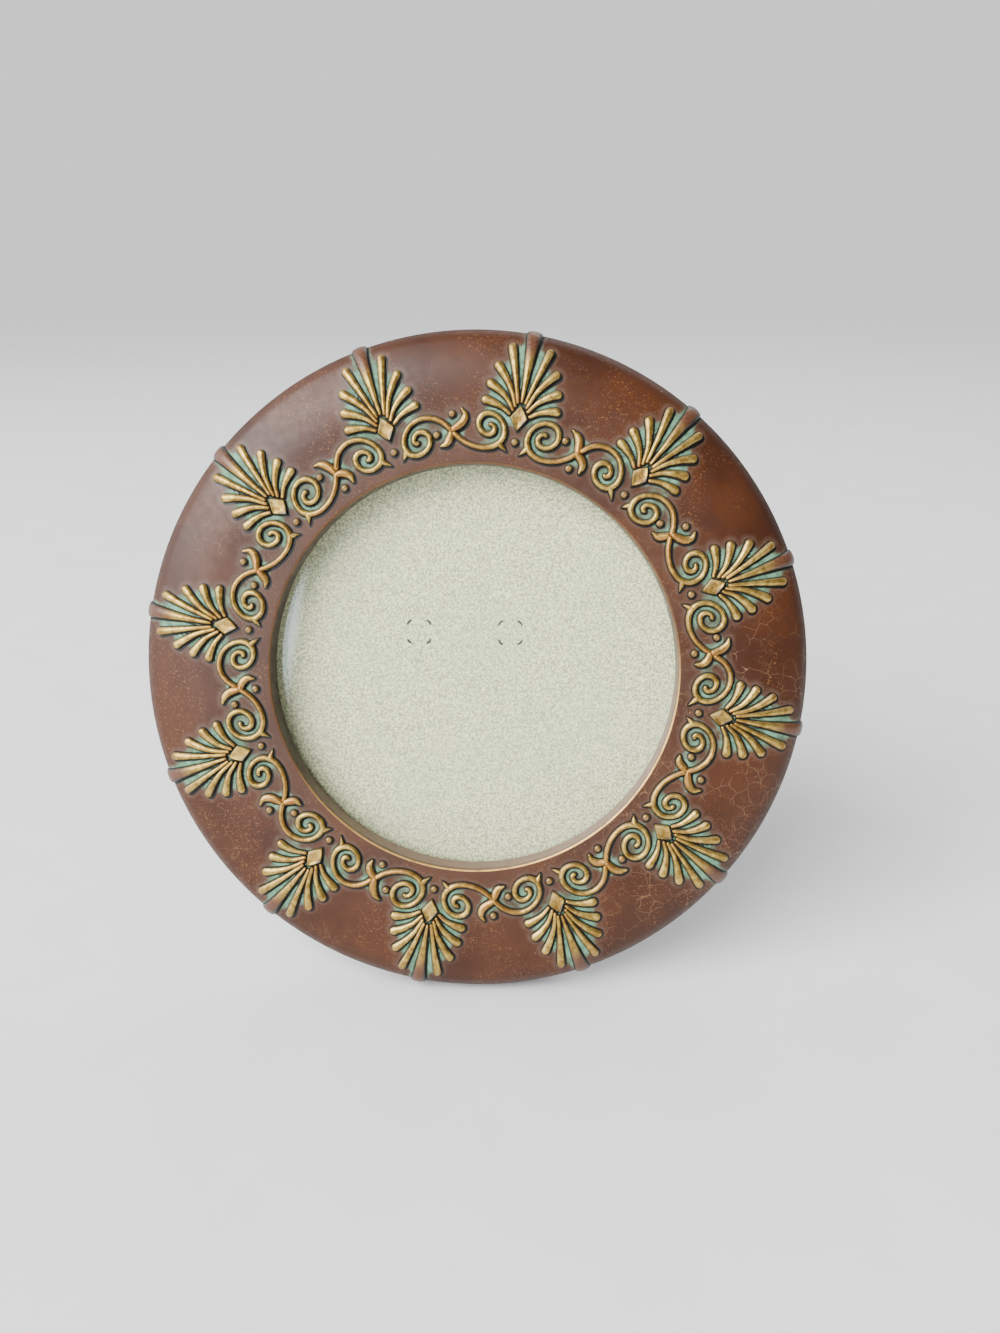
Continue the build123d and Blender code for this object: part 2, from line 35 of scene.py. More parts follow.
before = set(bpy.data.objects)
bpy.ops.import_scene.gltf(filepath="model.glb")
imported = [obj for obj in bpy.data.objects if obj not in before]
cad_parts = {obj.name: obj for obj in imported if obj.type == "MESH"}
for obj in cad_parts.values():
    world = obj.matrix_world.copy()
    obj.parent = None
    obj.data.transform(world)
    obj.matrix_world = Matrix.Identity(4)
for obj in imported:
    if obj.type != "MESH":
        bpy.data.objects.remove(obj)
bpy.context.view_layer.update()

MM = 0.001
LEAN = radians(15)
SIDE = np.array((1.0, 0.0, 0.0))
UP = np.array((0.0, sin(LEAN), cos(LEAN)))
OUT = np.array((0.0, -cos(LEAN), sin(LEAN)))
GLASS_MIDDLE = 5.0
glass_low, glass_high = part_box("glass_disc")
origin = np.array((glass_low + glass_high) / 2) - OUT * GLASS_MIDDLE * MM

# Casting, as in the part's source
SIGHT_RADIUS = 52.2
FACE_WIDTH = 33.88
SHOULDER_REACH = 17.1
FACE_HEIGHT = 13.4
RIM_ROUND = 5.5
WAIST_HEIGHT = 5.5
BACK_TAPER = 0.4
BACK_ROUND = 0.5
ARRIS_ROUND = 0.45
RABBET_STEP = 4.3
LEDGE_HEIGHT = 6.05

rim_radius = SIGHT_RADIUS + FACE_WIDTH
crown_radius = rim_radius - SHOULDER_REACH
crown_arris = SIGHT_RADIUS + ARRIS_ROUND - crown_radius
rabbet_radius = SIGHT_RADIUS + RABBET_STEP
crown_drop = FACE_HEIGHT - WAIST_HEIGHT
shoulder_run = SHOULDER_REACH - RIM_ROUND
shoulder_arc = (shoulder_run ** 2 + crown_drop ** 2 - RIM_ROUND ** 2) / (2 * (crown_drop - RIM_ROUND))
shoulder_angle = atan2(shoulder_run, shoulder_arc - crown_drop)
shoulder_length = shoulder_arc * shoulder_angle
waist_length = shoulder_length + RIM_ROUND * (pi / 2 - shoulder_angle)

# Ornament: twelve palmettes on a circle and the S-scrolls between them. Palmettes of even number
# have the first kind of scroll clockwise of them. The petals' shares are of the palmette's reach,
# all others of half the gap between two palmettes; an arm's turns are in degrees but for its fall.
PALMETTES = 12
PITCH = 2 * pi / PALMETTES
ORNAMENT_TURN = radians(-20.124)
ORNAMENT_INSET = 12.0
WRAP_MARGIN = 0.8
ROOT_DEPTH = 0.35
ornament_radius = SIGHT_RADIUS + ORNAMENT_INSET
ornament_length = ornament_radius - crown_radius
palmette_reach = waist_length - ornament_length - WRAP_MARGIN
half_gap = pi * ornament_radius / PALMETTES

petal_shares = (
    ((0.041, 0.160), (0.102, 0.385), (0.159, 0.585), (0.193, 0.705)),
    ((0.061, 0.119), (0.122, 0.261), (0.207, 0.389), (0.294, 0.496)),
    ((0.079, 0.078), (0.163, 0.187), (0.252, 0.258), (0.343, 0.314)),
    ((0.106, 0.034), (0.182, 0.086), (0.272, 0.124), (0.362, 0.151)),
)
middle_petal_shares = ((0.0, 0.17), (0.0, 0.53), (0.0, 0.75), (0.0, 0.965))
arm_shares = {
    "first_outer": (-0.515, -0.297, 0.499, 0.239, 0.036),
    "first_inner": (0.547, -0.161, 0.537, 0.225, 0.036),
    "second_outer": (-0.497, -0.269, 0.450, 0.216, 0.045),
    "second_inner": (0.516, -0.188, 0.515, 0.257, 0.041),
}
arm_turns = {
    "first_outer": (9.7, 580.0, 9.5),
    "first_inner": (191.7, 577.0, 9.5),
    "second_outer": (13.6, 585.0, 5.5),
    "second_inner": (186.0, 607.0, 9.9),
}
thorn_shares = {
    "first_outer": ((-0.672, -0.318), (-0.725, -0.420), (-0.772, -0.512)),
    "first_inner": ((0.640, -0.372), (0.700, -0.434), (0.762, -0.500)),
    "second_outer": ((-0.638, -0.362), (-0.705, -0.444), (-0.766, -0.524)),
    "second_inner": ((0.665, -0.366), (0.715, -0.444), (0.766, -0.522)),
}
leaf_shares = {
    "first": (
        ((0.012, -0.200), (0.107, -0.149), (0.173, -0.089), (0.205, -0.006), (0.160, 0.085)),
        ((-0.030, -0.265), (-0.062, -0.345), (-0.100, -0.400), (-0.185, -0.430)),
    ),
    "second": (
        ((0.000, -0.200), (-0.030, -0.080), (-0.105, 0.015), (-0.190, 0.052)),
        ((0.012, -0.244), (0.107, -0.286), (0.161, -0.363), (0.155, -0.464)),
    ),
}
bead_shares = {
    "first": ((0.010, 0.020), (-0.244, -0.262)),
    "second": ((-0.226, -0.125), (-0.010, -0.476)),
}
axis_bead = np.array((0, -0.351)) * half_gap


def standing(points):
    """Points of the lying frame, in millimetres, as points of the row frame."""
    points = np.asarray(points, float) * MM
    return origin + points[:, :1] * SIDE + points[:, 1:2] * UP + points[:, 2:] * OUT


def face_point(length):
    """Radius, height and slope of the face at lengths along it, outwards from the crown."""
    length = np.asarray(length, float)
    wide = np.clip(length, 0, shoulder_length) / shoulder_arc
    tight = shoulder_angle + (np.clip(length, shoulder_length, waist_length) - shoulder_length) / RIM_ROUND
    flat, round_, low = length < 0, length < shoulder_length, length > waist_length
    radius = np.where(round_, crown_radius + shoulder_arc * np.sin(wide),
                      rim_radius - RIM_ROUND * (1 - np.sin(tight)))
    height = np.where(round_, FACE_HEIGHT - shoulder_arc * (1 - np.cos(wide)),
                      WAIST_HEIGHT + RIM_ROUND * np.cos(tight))
    radius = np.where(flat, crown_radius + length, radius)
    height = np.where(low, WAIST_HEIGHT - (length - waist_length), height)
    return radius, height, np.where(round_, wide, tight)


def on_face(across, along, azimuth, lift):
    """Points raised from the face, from lengths across and along it on a palmette's or gap's axis."""
    radius, height, slope = face_point(ornament_length + along)
    turn = azimuth + across / radius
    reach = radius + lift * np.sin(slope)
    return np.stack((reach * np.sin(turn), reach * np.cos(turn), height + lift * np.cos(slope)), -1)


def unit(vectors):
    return vectors / np.linalg.norm(vectors, axis=-1, keepdims=True)


def smooth_path(points, count):
    """Evenly spaced places on a smooth line through a few."""
    points = np.array(points, float)
    knots = np.concatenate(([0], np.cumsum(np.linalg.norm(np.diff(points, axis=0), axis=1))))
    tangents = np.gradient(points, knots, axis=0)
    spans = np.linspace(0, knots[-1], count)
    index = np.clip(np.searchsorted(knots, spans, side="right") - 1, 0, len(points) - 2)
    length = (knots[index + 1] - knots[index])[:, None]
    t = (spans - knots[index])[:, None] / length
    leaving, arriving = length * tangents[index], length * tangents[index + 1]
    return ((2 * t ** 3 - 3 * t ** 2 + 1) * points[index] + (t ** 3 - 2 * t ** 2 + t) * leaving
            + (3 * t ** 2 - 2 * t ** 3) * points[index + 1] + (t ** 3 - t ** 2) * arriving)


def mirrored(path):
    return path * (-1, 1)


# Strokes: a path on the face with a half width, a relief, and the shares of copper and of worn
# gold (fade) at each place, all in order from the stroke's root

PETAL_HALF_WIDTH = (0.50, 0.62, 0.87, 1.14)
PETAL_RELIEF = (0.85, 0.92, 1.08, 1.12)
PETAL_COPPER = (0.6, 0.15, 0.0, 0.1)
PETAL_TIPS_WORN = (0.55, 0.15, 0.0, 0.0)
WRAP_HALF_WIDTH = (0.42, 0.86, 1.5, 2.1)
WRAP_RELIEF = (0.85, 1.10, 1.18, 0.80)
WRAP_COPPER = (0.5, 0.1, 0.3, 0.9)
WRAP_WORN = (0, 0.3, 0.8, 1)
ARM_HALF_WIDTH = (0.72, 0.72, 0.72, 0.60)
ARM_RELIEF = (1.2, 1.2, 0.95)
ARM_COPPER = (0.8, 0.1, 0.0, 0.0, 0.1)
ARM_EASE = 0.9
THORN_HALF_WIDTH = (0.86, 0.70, 0.42, 0.12)
THORN_RELIEF = (1.15, 0.55)
THORN_COPPER = (0.1, 0.3)
THORN_ROOT_GAP = 0.5
ARM_PLACES, THORN_PLACES, WRAP_PLACES, PETAL_PLACES = 84, 32, 26, 18
LEAF_HALF_WIDTH = (0.85, 1.08, 1.10, 0.86, 0.36)
LEAF_RELIEF = (1.25, 0.95)
LEAF_COPPER = (1.0, 0.9, 0.5, 0.1)
BEAD_RADIUS = 0.94
BEAD_RELIEF = 1.0
BEAD_COPPER = 0.3
BEAD_WORN = 0.62
DIAMOND_HALF = np.array((2.2, 3.1))
DIAMOND_RELIEF = 1.1
DIAMOND_COPPER = 0.45
DIAMOND_POWER = 1.12


def spread(values, count):
    """A few values spread evenly over a stroke's places."""
    return np.interp(np.linspace(0, 1, count), np.linspace(0, 1, len(values)), values)


def stroke(path, half_width, relief, copper, fade=(0, 0)):
    item = {"half": half_width, "relief": relief, "copper": copper, "fade": fade}
    item = {key: spread(values, len(path)) for key, values in item.items()}
    return item | {"path": path}


def palmette_strokes():
    """Nine petals fanned over the diamond."""
    middle = smooth_path(np.array(middle_petal_shares) * palmette_reach, WRAP_PLACES)
    strokes = [stroke(middle, WRAP_HALF_WIDTH, WRAP_RELIEF, WRAP_COPPER, WRAP_WORN)]
    for shares, worn in zip(petal_shares, PETAL_TIPS_WORN):
        path = smooth_path(np.array(shares) * palmette_reach, PETAL_PLACES)
        for route in (path, mirrored(path)):
            strokes.append(stroke(route, PETAL_HALF_WIDTH, PETAL_RELIEF, PETAL_COPPER, (0, 0, worn)))
    return strokes


def arm_path(name, count):
    """A scroll arm's stem, which sweeps in from the gap's middle and winds into a coil."""
    across, along, reach, coil, eye = (value * half_gap for value in arm_shares[name])
    start, sweep, fall = arm_turns[name]
    share = np.linspace(0, 1, count) ** ARM_EASE
    radius = eye + (coil - eye) * (1 - share ** 2) + (reach - coil) * (1 - share) ** fall
    angle = np.radians(start + sweep * share)
    return np.stack((across + radius * np.cos(angle), along + radius * np.sin(angle)), -1)


def scroll_strokes(kind):
    """S-scroll of one gap: two arms with their thorns, and two leaves, all from one knot."""
    strokes = []
    for end in ("_outer", "_inner"):
        path = arm_path(kind + end, ARM_PLACES)
        thorn = smooth_path(np.array(thorn_shares[kind + end]) * half_gap, THORN_PLACES)
        gap = np.linalg.norm(thorn[:, None] - path[None], axis=-1).min(1)
        thorn = thorn[np.flatnonzero(gap < THORN_ROOT_GAP)[-1]:]
        if kind == "second":
            path, thorn = mirrored(path), mirrored(thorn)
        strokes.append(stroke(path, ARM_HALF_WIDTH, ARM_RELIEF, ARM_COPPER))
        strokes.append(stroke(thorn, THORN_HALF_WIDTH, THORN_RELIEF, THORN_COPPER))
    for shares in leaf_shares[kind]:
        path = smooth_path(np.array(shares) * half_gap, PETAL_PLACES)
        strokes.append(stroke(path, LEAF_HALF_WIDTH, LEAF_RELIEF, LEAF_COPPER))
    return strokes


def bead_places(kind):
    return [np.array(share) * half_gap for share in bead_shares[kind]]


# Meshes

SHARP = radians(40)


def placed(name, data):
    """Object with the data, linked into the scene."""
    thing = bpy.data.objects.new(name, data)
    bpy.context.scene.collection.objects.link(thing)
    return thing


def new_object(name, points, faces, material, attributes=None):
    """Mesh object from points of the row frame, with one value per point for each attribute."""
    mesh = bpy.data.meshes.new(name)
    mesh.from_pydata([tuple(p) for p in points], [], [tuple(int(i) for i in f) for f in faces])
    mesh.validate()
    for key, values in (attributes or {}).items():
        mesh.attributes.new(key, "FLOAT", "POINT").data.foreach_set("value", np.asarray(values, np.float32))
    mesh.shade_smooth()
    mesh.set_sharp_from_angle(angle=SHARP)
    mesh.materials.append(material)
    return placed(name, mesh)


class Gathered:
    """Points, faces and point values gathered from many small closed shells for one piece."""

    def __init__(self):
        self.points, self.faces, self.values, self.count = [], [], {}, 0

    def add(self, points, faces, **values):
        self.points.append(points)
        self.faces += [tuple(i + self.count for i in face) for face in faces]
        for key, value in values.items():
            self.values.setdefault(key, []).append(np.broadcast_to(value, len(points)))
        self.count += len(points)

    def build(self, name, material):
        values = {key: np.concatenate(value) for key, value in self.values.items()}
        return new_object(name, standing(np.concatenate(self.points)), self.faces, material, values)


def grid_faces(rows, columns, rows_close=False, columns_close=True):
    """Quads between rows of points, on from the last row or column to the first where they close."""
    faces = []
    for i in range(rows if rows_close else rows - 1):
        for j in range(columns if columns_close else columns - 1):
            k, after = (j + 1) % columns, (i + 1) % rows * columns
            faces.append((i * columns + j, i * columns + k, after + k, after + j))
    return faces


def shell_faces(rows, columns):
    """Faces of a closed shell: loops of points in rows, with a flat face at each end."""
    last = (rows - 1) * columns
    ends = [tuple(range(columns))[::-1], tuple(range(last, last + columns))]
    return grid_faces(rows, columns) + ends


# A stroke's section, the turns of its round ends, and the way to the window across the picture,
# which places the ornament's painted highlight and painted shade
SECTION_ACROSS = np.array((-1, -1, -0.95, -0.82, -0.6, -0.3, 0, 0.3, 0.6, 0.82, 0.95, 1, 1))
SECTION_LIFT = np.array((0, 0.14, 0.36, 0.61, 0.83, 0.96, 1, 0.96, 0.83, 0.61, 0.36, 0.14, 0))
CAP_TURNS = np.radians((78, 60, 38, 18))
WINDOW_SIDE = (-0.72, 0.70)


def window_axes(azimuth):
    """How far the ways across and along the face at an azimuth lead towards the window's side."""
    x, y = WINDOW_SIDE
    return x * np.cos(azimuth) - y * np.sin(azimuth), x * np.sin(azimuth) + y * np.cos(azimuth)


def add_stroke(gathered, item, azimuth):
    """Rounded ridge along a stroke, with round ends, rooted in the casting."""
    path, half, relief = item["path"], item["half"], item["relief"]
    heading = unit(np.gradient(path, axis=0))
    stations = [(0, -turn) for turn in CAP_TURNS] + [(i, 0.0) for i in range(len(path))]
    stations += [(len(path) - 1, turn) for turn in CAP_TURNS[::-1]]
    points, lifts, away = [], [], []
    for i, turn in stations:
        place = path[i] + heading[i] * half[i] * sin(turn)
        lateral = np.array((-heading[i, 1], heading[i, 0]))
        # away: how far each point of the section faces from the window, for the gilt's painted highlight and
        # painted shade
        away.append(-SECTION_ACROSS * (lateral @ window_axes(azimuth + place[0] / ornament_radius)))
        spots = place + np.outer(SECTION_ACROSS * (half[i] * cos(turn)), lateral)
        lift = SECTION_LIFT * (relief[i] * cos(turn) ** 0.5)
        lift[[0, -1]] = -ROOT_DEPTH
        points.append(on_face(spots[:, 0], spots[:, 1], azimuth, lift))
        lifts.append(np.clip(lift / relief.max(), 0, 1))
    columns, order = len(SECTION_ACROSS), [i for i, turn in stations]
    red, worn = (np.repeat(item[key][order], columns) for key in ("copper", "fade"))
    gathered.add(np.concatenate(points), shell_faces(len(stations), columns), lift=np.concatenate(lifts),
                 away=np.concatenate(away), copper=red, fade=worn)


def add_boss(gathered, outline, loops, centre, azimuth, relief, copper, worn=0.0):
    """Raised boss, coppery in its middle: loops that are each a share of its outline and relief."""
    sizes, heights = np.array(loops).T
    points = []
    for size, lift in zip(sizes, np.where(heights < 0, -ROOT_DEPTH, heights * relief)):
        spots = outline * size + centre
        points.append(on_face(spots[:, 0], spots[:, 1], azimuth, lift))
    # away, as on the strokes: how far each point faces from the window, for the painted highlight and painted
    # shade
    facing = unit(outline) @ window_axes(azimuth)
    count = len(outline)
    gathered.add(np.concatenate(points), shell_faces(len(loops), count),
                 lift=np.repeat(np.clip(heights, 0, 1), count), away=-np.outer(sizes, facing).ravel(),
                 copper=np.repeat(np.where(sizes < 0.7, copper, copper * 0.2), count), fade=worn)


def circle(radius, count):
    turns = np.linspace(0, 2 * pi, count, endpoint=False)
    return np.stack((np.cos(turns), np.sin(turns)), -1) * radius


def diamond_outline(count):
    """Outline of the diamond, its corners slightly eased."""
    ways = circle(1, count)
    reach = (np.abs(ways) ** DIAMOND_POWER).sum(1) ** (-1 / DIAMOND_POWER)
    return ways * reach[:, None] * DIAMOND_HALF


BEAD_LOOPS = ((1.0, -1), (1.0, 0.15), (0.93, 0.5), (0.76, 0.8), (0.52, 0.96), (0.3, 1.0), (0.16, 0.9))
DIAMOND_LOOPS = ((1.0, -1), (1.0, 0.2), (0.97, 0.62), (0.91, 0.92), (0.85, 1.0), (0.78, 0.97),
                 (0.68, 0.9), (0.35, 0.86))


def stroke_distance(places, strokes):
    """Distance of each place on the face to each stroke's edge, as an array of place by stroke."""
    found = []
    for item in strokes:
        start, end = item["path"][:-1], item["path"][1:]
        run = end - start
        offset = places[:, None, :] - start[None]
        t = np.clip((offset * run).sum(-1) / (run ** 2).sum(-1), 0, 1)
        gap = np.linalg.norm(offset - t[..., None] * run, axis=-1)
        gap -= item["half"][:-1] + (item["half"][1:] - item["half"][:-1]) * t
        found.append(gap.min(1))
    return np.stack(found, -1)


def diamond_distance(places):
    """Rough distance of each place on the face to the diamond's edge."""
    return ((np.abs(places) / DIAMOND_HALF).sum(1) - 1) * DIAMOND_HALF.prod() / np.hypot(*DIAMOND_HALF)


# The casting's mesh over one period of the ornament, two palmettes wide, and the values on its
# points: near is the distance to the ornament, foot the same but shorter on the strokes' side away
# from the window, so that the black at their feet widens there as a painted shadow, crowd how
# closely strokes stand around
PERIOD_COLUMNS = 150
FRONT_ROWS = 88
RIM_ROWS = 16
BLUR_CELLS = 4
FOOT_SHADE, FOOT_LIT = 0.45, 0.25
CROWD_EDGE = 0.4
FAR = 9.0


def blurred(field):
    """Field smoothed over a few cells: it wraps along its rows and keeps its first and last row."""
    reach = 2 * BLUR_CELLS
    steps = np.arange(-reach, reach + 1)
    weights = np.exp(-0.5 * (steps / BLUR_CELLS) ** 2)
    weights /= weights.sum()
    field = sum(weight * np.roll(field, step, 1) for weight, step in zip(weights, steps))
    padded = np.pad(field, ((reach, reach), (0, 0)), "edge")
    return sum(weight * padded[step + reach:][:len(field)] for weight, step in zip(weights, steps))


def front_fields(lengths):
    """One period of the ornament: distance to the nearest stroke and its two slopes, and crowding."""
    turns = np.arange(PERIOD_COLUMNS) / PERIOD_COLUMNS * 2 * PITCH
    radius = np.repeat(face_point(lengths)[0], PERIOD_COLUMNS)
    along = np.repeat(lengths - ornament_length, PERIOD_COLUMNS)
    turn = np.tile(turns, len(lengths))
    nearest = np.full(len(turn), FAR)
    kinds = ((-0.5, "second"), (0, None), (0.5, "first"), (1, None), (1.5, "second"), (2, None))
    for step, kind in kinds:
        places = np.stack(((turn - step * PITCH) * radius, along), -1)
        if kind:
            strokes, beads = scroll_strokes(kind), bead_places(kind)
        else:
            strokes, beads = palmette_strokes(), [axis_bead]
            nearest = np.minimum(nearest, diamond_distance(places))
        nearest = np.minimum(nearest, stroke_distance(places, strokes).min(1))
        for bead in beads:
            nearest = np.minimum(nearest, np.linalg.norm(places - bead, axis=1) - BEAD_RADIUS)
    nearest = nearest.reshape(len(lengths), PERIOD_COLUMNS)
    step = turns[1] * radius.reshape(nearest.shape)
    across = (np.roll(nearest, -1, 1) - np.roll(nearest, 1, 1)) / (2 * step)
    crowd = blurred(np.clip(0.5 - nearest / CROWD_EDGE, 0, 1))
    return nearest, across, np.gradient(nearest, lengths, axis=0), crowd


def casting_rows():
    """The casting's section as rows of radius, height and length along the face, front to back.

    Behind the waist and in the well the lengths only tell the materials where they are."""
    lengths = np.linspace(crown_arris, shoulder_length, FRONT_ROWS - RIM_ROWS, endpoint=False)
    lengths = np.concatenate((lengths, np.linspace(shoulder_length, waist_length, RIM_ROWS)))
    radius, height, _ = face_point(lengths)
    rows = list(zip(radius, height, lengths))
    back_radius = rim_radius - BACK_TAPER
    far = waist_length + WAIST_HEIGHT
    for share in (0.3, 0.6, 0.85):
        rows.append((rim_radius - BACK_TAPER * share, WAIST_HEIGHT * (1 - share),
                     waist_length + WAIST_HEIGHT * share))
    for turn in np.radians((0, 45, 90)):
        rows.append((back_radius - BACK_ROUND * (1 - cos(turn)), BACK_ROUND * (1 - sin(turn)), far))
    for share in (0.08, 1):
        rows.append((back_radius - (back_radius - rabbet_radius - BACK_ROUND) * share, 0.0, far + share))
    for height in (0.4, 2.0, 4.0, LEDGE_HEIGHT):
        rows.append((rabbet_radius, height, far + 2))
    rows.append((rabbet_radius - RABBET_STEP / 2, LEDGE_HEIGHT, far + 2))
    inner = FACE_HEIGHT - ARRIS_ROUND
    for share in (0, 0.06, 0.35, 0.65, 0.94):
        rows.append((SIGHT_RADIUS, LEDGE_HEIGHT + (inner - LEDGE_HEIGHT) * share,
                     crown_arris - 1 - inner * (1 - share)))
    for turn in np.radians((0, 22, 45, 68)):
        rows.append((SIGHT_RADIUS + ARRIS_ROUND * (1 - cos(turn)), inner + ARRIS_ROUND * sin(turn),
                     crown_arris - ARRIS_ROUND * (1 - sin(turn))))
    return np.array(rows)


def make_casting(material):
    """The plain ring, with the distances to the ornament kept on its points for the patina and for the black
    at the strokes' feet, widened as a painted shadow on their side away from the window.
    """
    rows = casting_rows()
    count, columns = len(rows), PERIOD_COLUMNS * PALMETTES // 2
    turns = ORNAMENT_TURN + np.arange(columns) / columns * 2 * pi
    radius, height = np.repeat(rows[:, 0], columns), np.repeat(rows[:, 1], columns)
    turn = np.tile(turns, count)
    points = np.stack((radius * np.sin(turn), radius * np.cos(turn), height), -1)
    fields = front_fields(rows[:FRONT_ROWS, 2])
    near, across, along, crowd = (np.tile(field, (1, PALMETTES // 2)) for field in fields)
    # foot: near shifted by its slope towards the window, so that the black at the feet is painted wider as
    # shadow on the far side
    ways = window_axes(turns)
    foot = near + FOOT_SHADE * np.clip(across * ways[0] + along * ways[1], -1, FOOT_LIT)
    values = {"length": np.repeat(rows[:, 2], columns)}
    for key, field, empty in (("near", near, FAR), ("foot", foot, FAR), ("crowd", crowd, 0.0)):
        full = np.full((count, columns), empty)
        full[:FRONT_ROWS] = field
        values[key] = full.ravel()
    faces = grid_faces(count, columns, rows_close=True)
    return new_object("ring_casting", standing(points), faces, material, values)


def make_ornament(material):
    """Palmettes, scrolls and beads as three pieces of raised, gilded strokes."""
    palmettes, scrolls, beads = Gathered(), Gathered(), Gathered()
    petals = palmette_strokes()
    arms = {kind: scroll_strokes(kind) for kind in ("first", "second")}
    bead, diamond = circle(BEAD_RADIUS, 20), diamond_outline(48)
    for i in range(PALMETTES):
        azimuth = ORNAMENT_TURN + i * PITCH
        between = azimuth + PITCH / 2
        kind = ("first", "second")[i % 2]
        for item in petals:
            add_stroke(palmettes, item, azimuth)
        add_boss(palmettes, diamond, DIAMOND_LOOPS, (0, 0), azimuth, DIAMOND_RELIEF, DIAMOND_COPPER)
        for item in arms[kind]:
            add_stroke(scrolls, item, between)
        for place, turn in [(axis_bead, azimuth)] + [(place, between) for place in bead_places(kind)]:
            add_boss(beads, bead, BEAD_LOOPS, place, turn, BEAD_RELIEF, BEAD_COPPER, BEAD_WORN)
    return [palmettes.build("ring_palmettes", material), scrolls.build("ring_scrolls", material),
            beads.build("ring_beads", material)]


# Materials

class Nodes:
    """Short calls for building a node tree."""

    def __init__(self, tree):
        self.tree = tree

    def feed(self, socket, value):
        if isinstance(value, bpy.types.NodeSocket):
            self.tree.links.new(value, socket)
        elif isinstance(value, tuple) and len(value) == 3 and socket.type == "RGBA":
            socket.default_value = (*value, 1.0)
        else:
            socket.default_value = value

    def add(self, kind, inputs=(), **settings):
        """A node of a kind with its settings made and its inputs fed."""
        node = self.tree.nodes.new(kind)
        for key, value in settings.items():
            setattr(node, key, value)
        for key, value in dict(inputs).items():
            self.feed(node.inputs[key], value)
        return node

    def math(self, operation, a, b=0.0, clamp=False):
        return self.add("ShaderNodeMath", {0: a, 1: b}, operation=operation, use_clamp=clamp).outputs[0]

    def times(self, first, *others):
        for other in others:
            first = self.math("MULTIPLY", first, other)
        return first

    def plus(self, a, b):
        return self.math("ADD", a, b)

    def minus(self, a, b):
        return self.math("SUBTRACT", a, b)

    def ramp(self, value, low, high, start=0.0, end=1.0):
        """A value's way from low to high, eased and clamped, as start to end."""
        inputs = {0: value, 1: low, 2: high, 3: start, 4: end}
        return self.add("ShaderNodeMapRange", inputs, interpolation_type="SMOOTHSTEP").outputs[0]

    def mix(self, share, a, b):
        return self.add("ShaderNodeMix", {0: share, 6: a, 7: b}, data_type="RGBA").outputs[2]

    def axes(self, vector):
        return self.add("ShaderNodeSeparateXYZ", {0: vector}).outputs

    def room(self, direction):
        """Brightness of the room in a direction: lighter to the left and behind the frame."""
        x, y, z = self.axes(direction)
        side = self.times(self.ramp(x, -0.1, -0.95, 0.0, WORLD_LEFT), self.ramp(y, 0.75, 0.3))
        return self.plus(side, self.ramp(y, -0.1, 0.8, WORLD_BASE, WORLD_BASE + WORLD_BACK))


class Shader(Nodes):
    """Short calls for building a node material, with sizes in millimetres."""

    def __init__(self, name):
        self.material = bpy.data.materials.new(name)
        self.material.use_nodes = True
        super().__init__(self.material.node_tree)
        self.principled = self.tree.nodes["Principled BSDF"]
        self.where = self.add("ShaderNodeTexCoord").outputs["Object"]

    def set(self, name, value):
        self.feed(self.principled.inputs[name], value)

    def attribute(self, name):
        return self.add("ShaderNodeAttribute", attribute_name=name).outputs["Fac"]

    def noise(self, size, detail=2.0, rough=0.5, distortion=0.0, output="Fac"):
        inputs = {"Vector": self.where, "Scale": 1 / (size * MM), "Detail": detail, "Roughness": rough,
                  "Distortion": distortion}
        return self.add("ShaderNodeTexNoise", inputs).outputs[output]

    def shifted(self, amount, size):
        """Coordinates pushed about by noise, for lines that wander."""
        inputs = {0: self.noise(size, output="Color"), 1: (amount * MM,) * 3, 2: self.where}
        return self.add("ShaderNodeVectorMath", inputs, operation="MULTIPLY_ADD").outputs[0]

    def cells(self, size, feature="F1", where=None):
        inputs = {"Vector": where or self.where, "Scale": 1 / (size * MM)}
        return self.add("ShaderNodeTexVoronoi", inputs, feature=feature).outputs["Distance"]

    def bump(self, height, strength, distance):
        inputs = {"Strength": strength, "Distance": distance * MM, "Height": height}
        self.set("Normal", self.add("ShaderNodeBump", inputs).outputs[0])


# The way down to the right of the picture, where the well catches the light
LOW_SIDE = (0.35, 0.97)


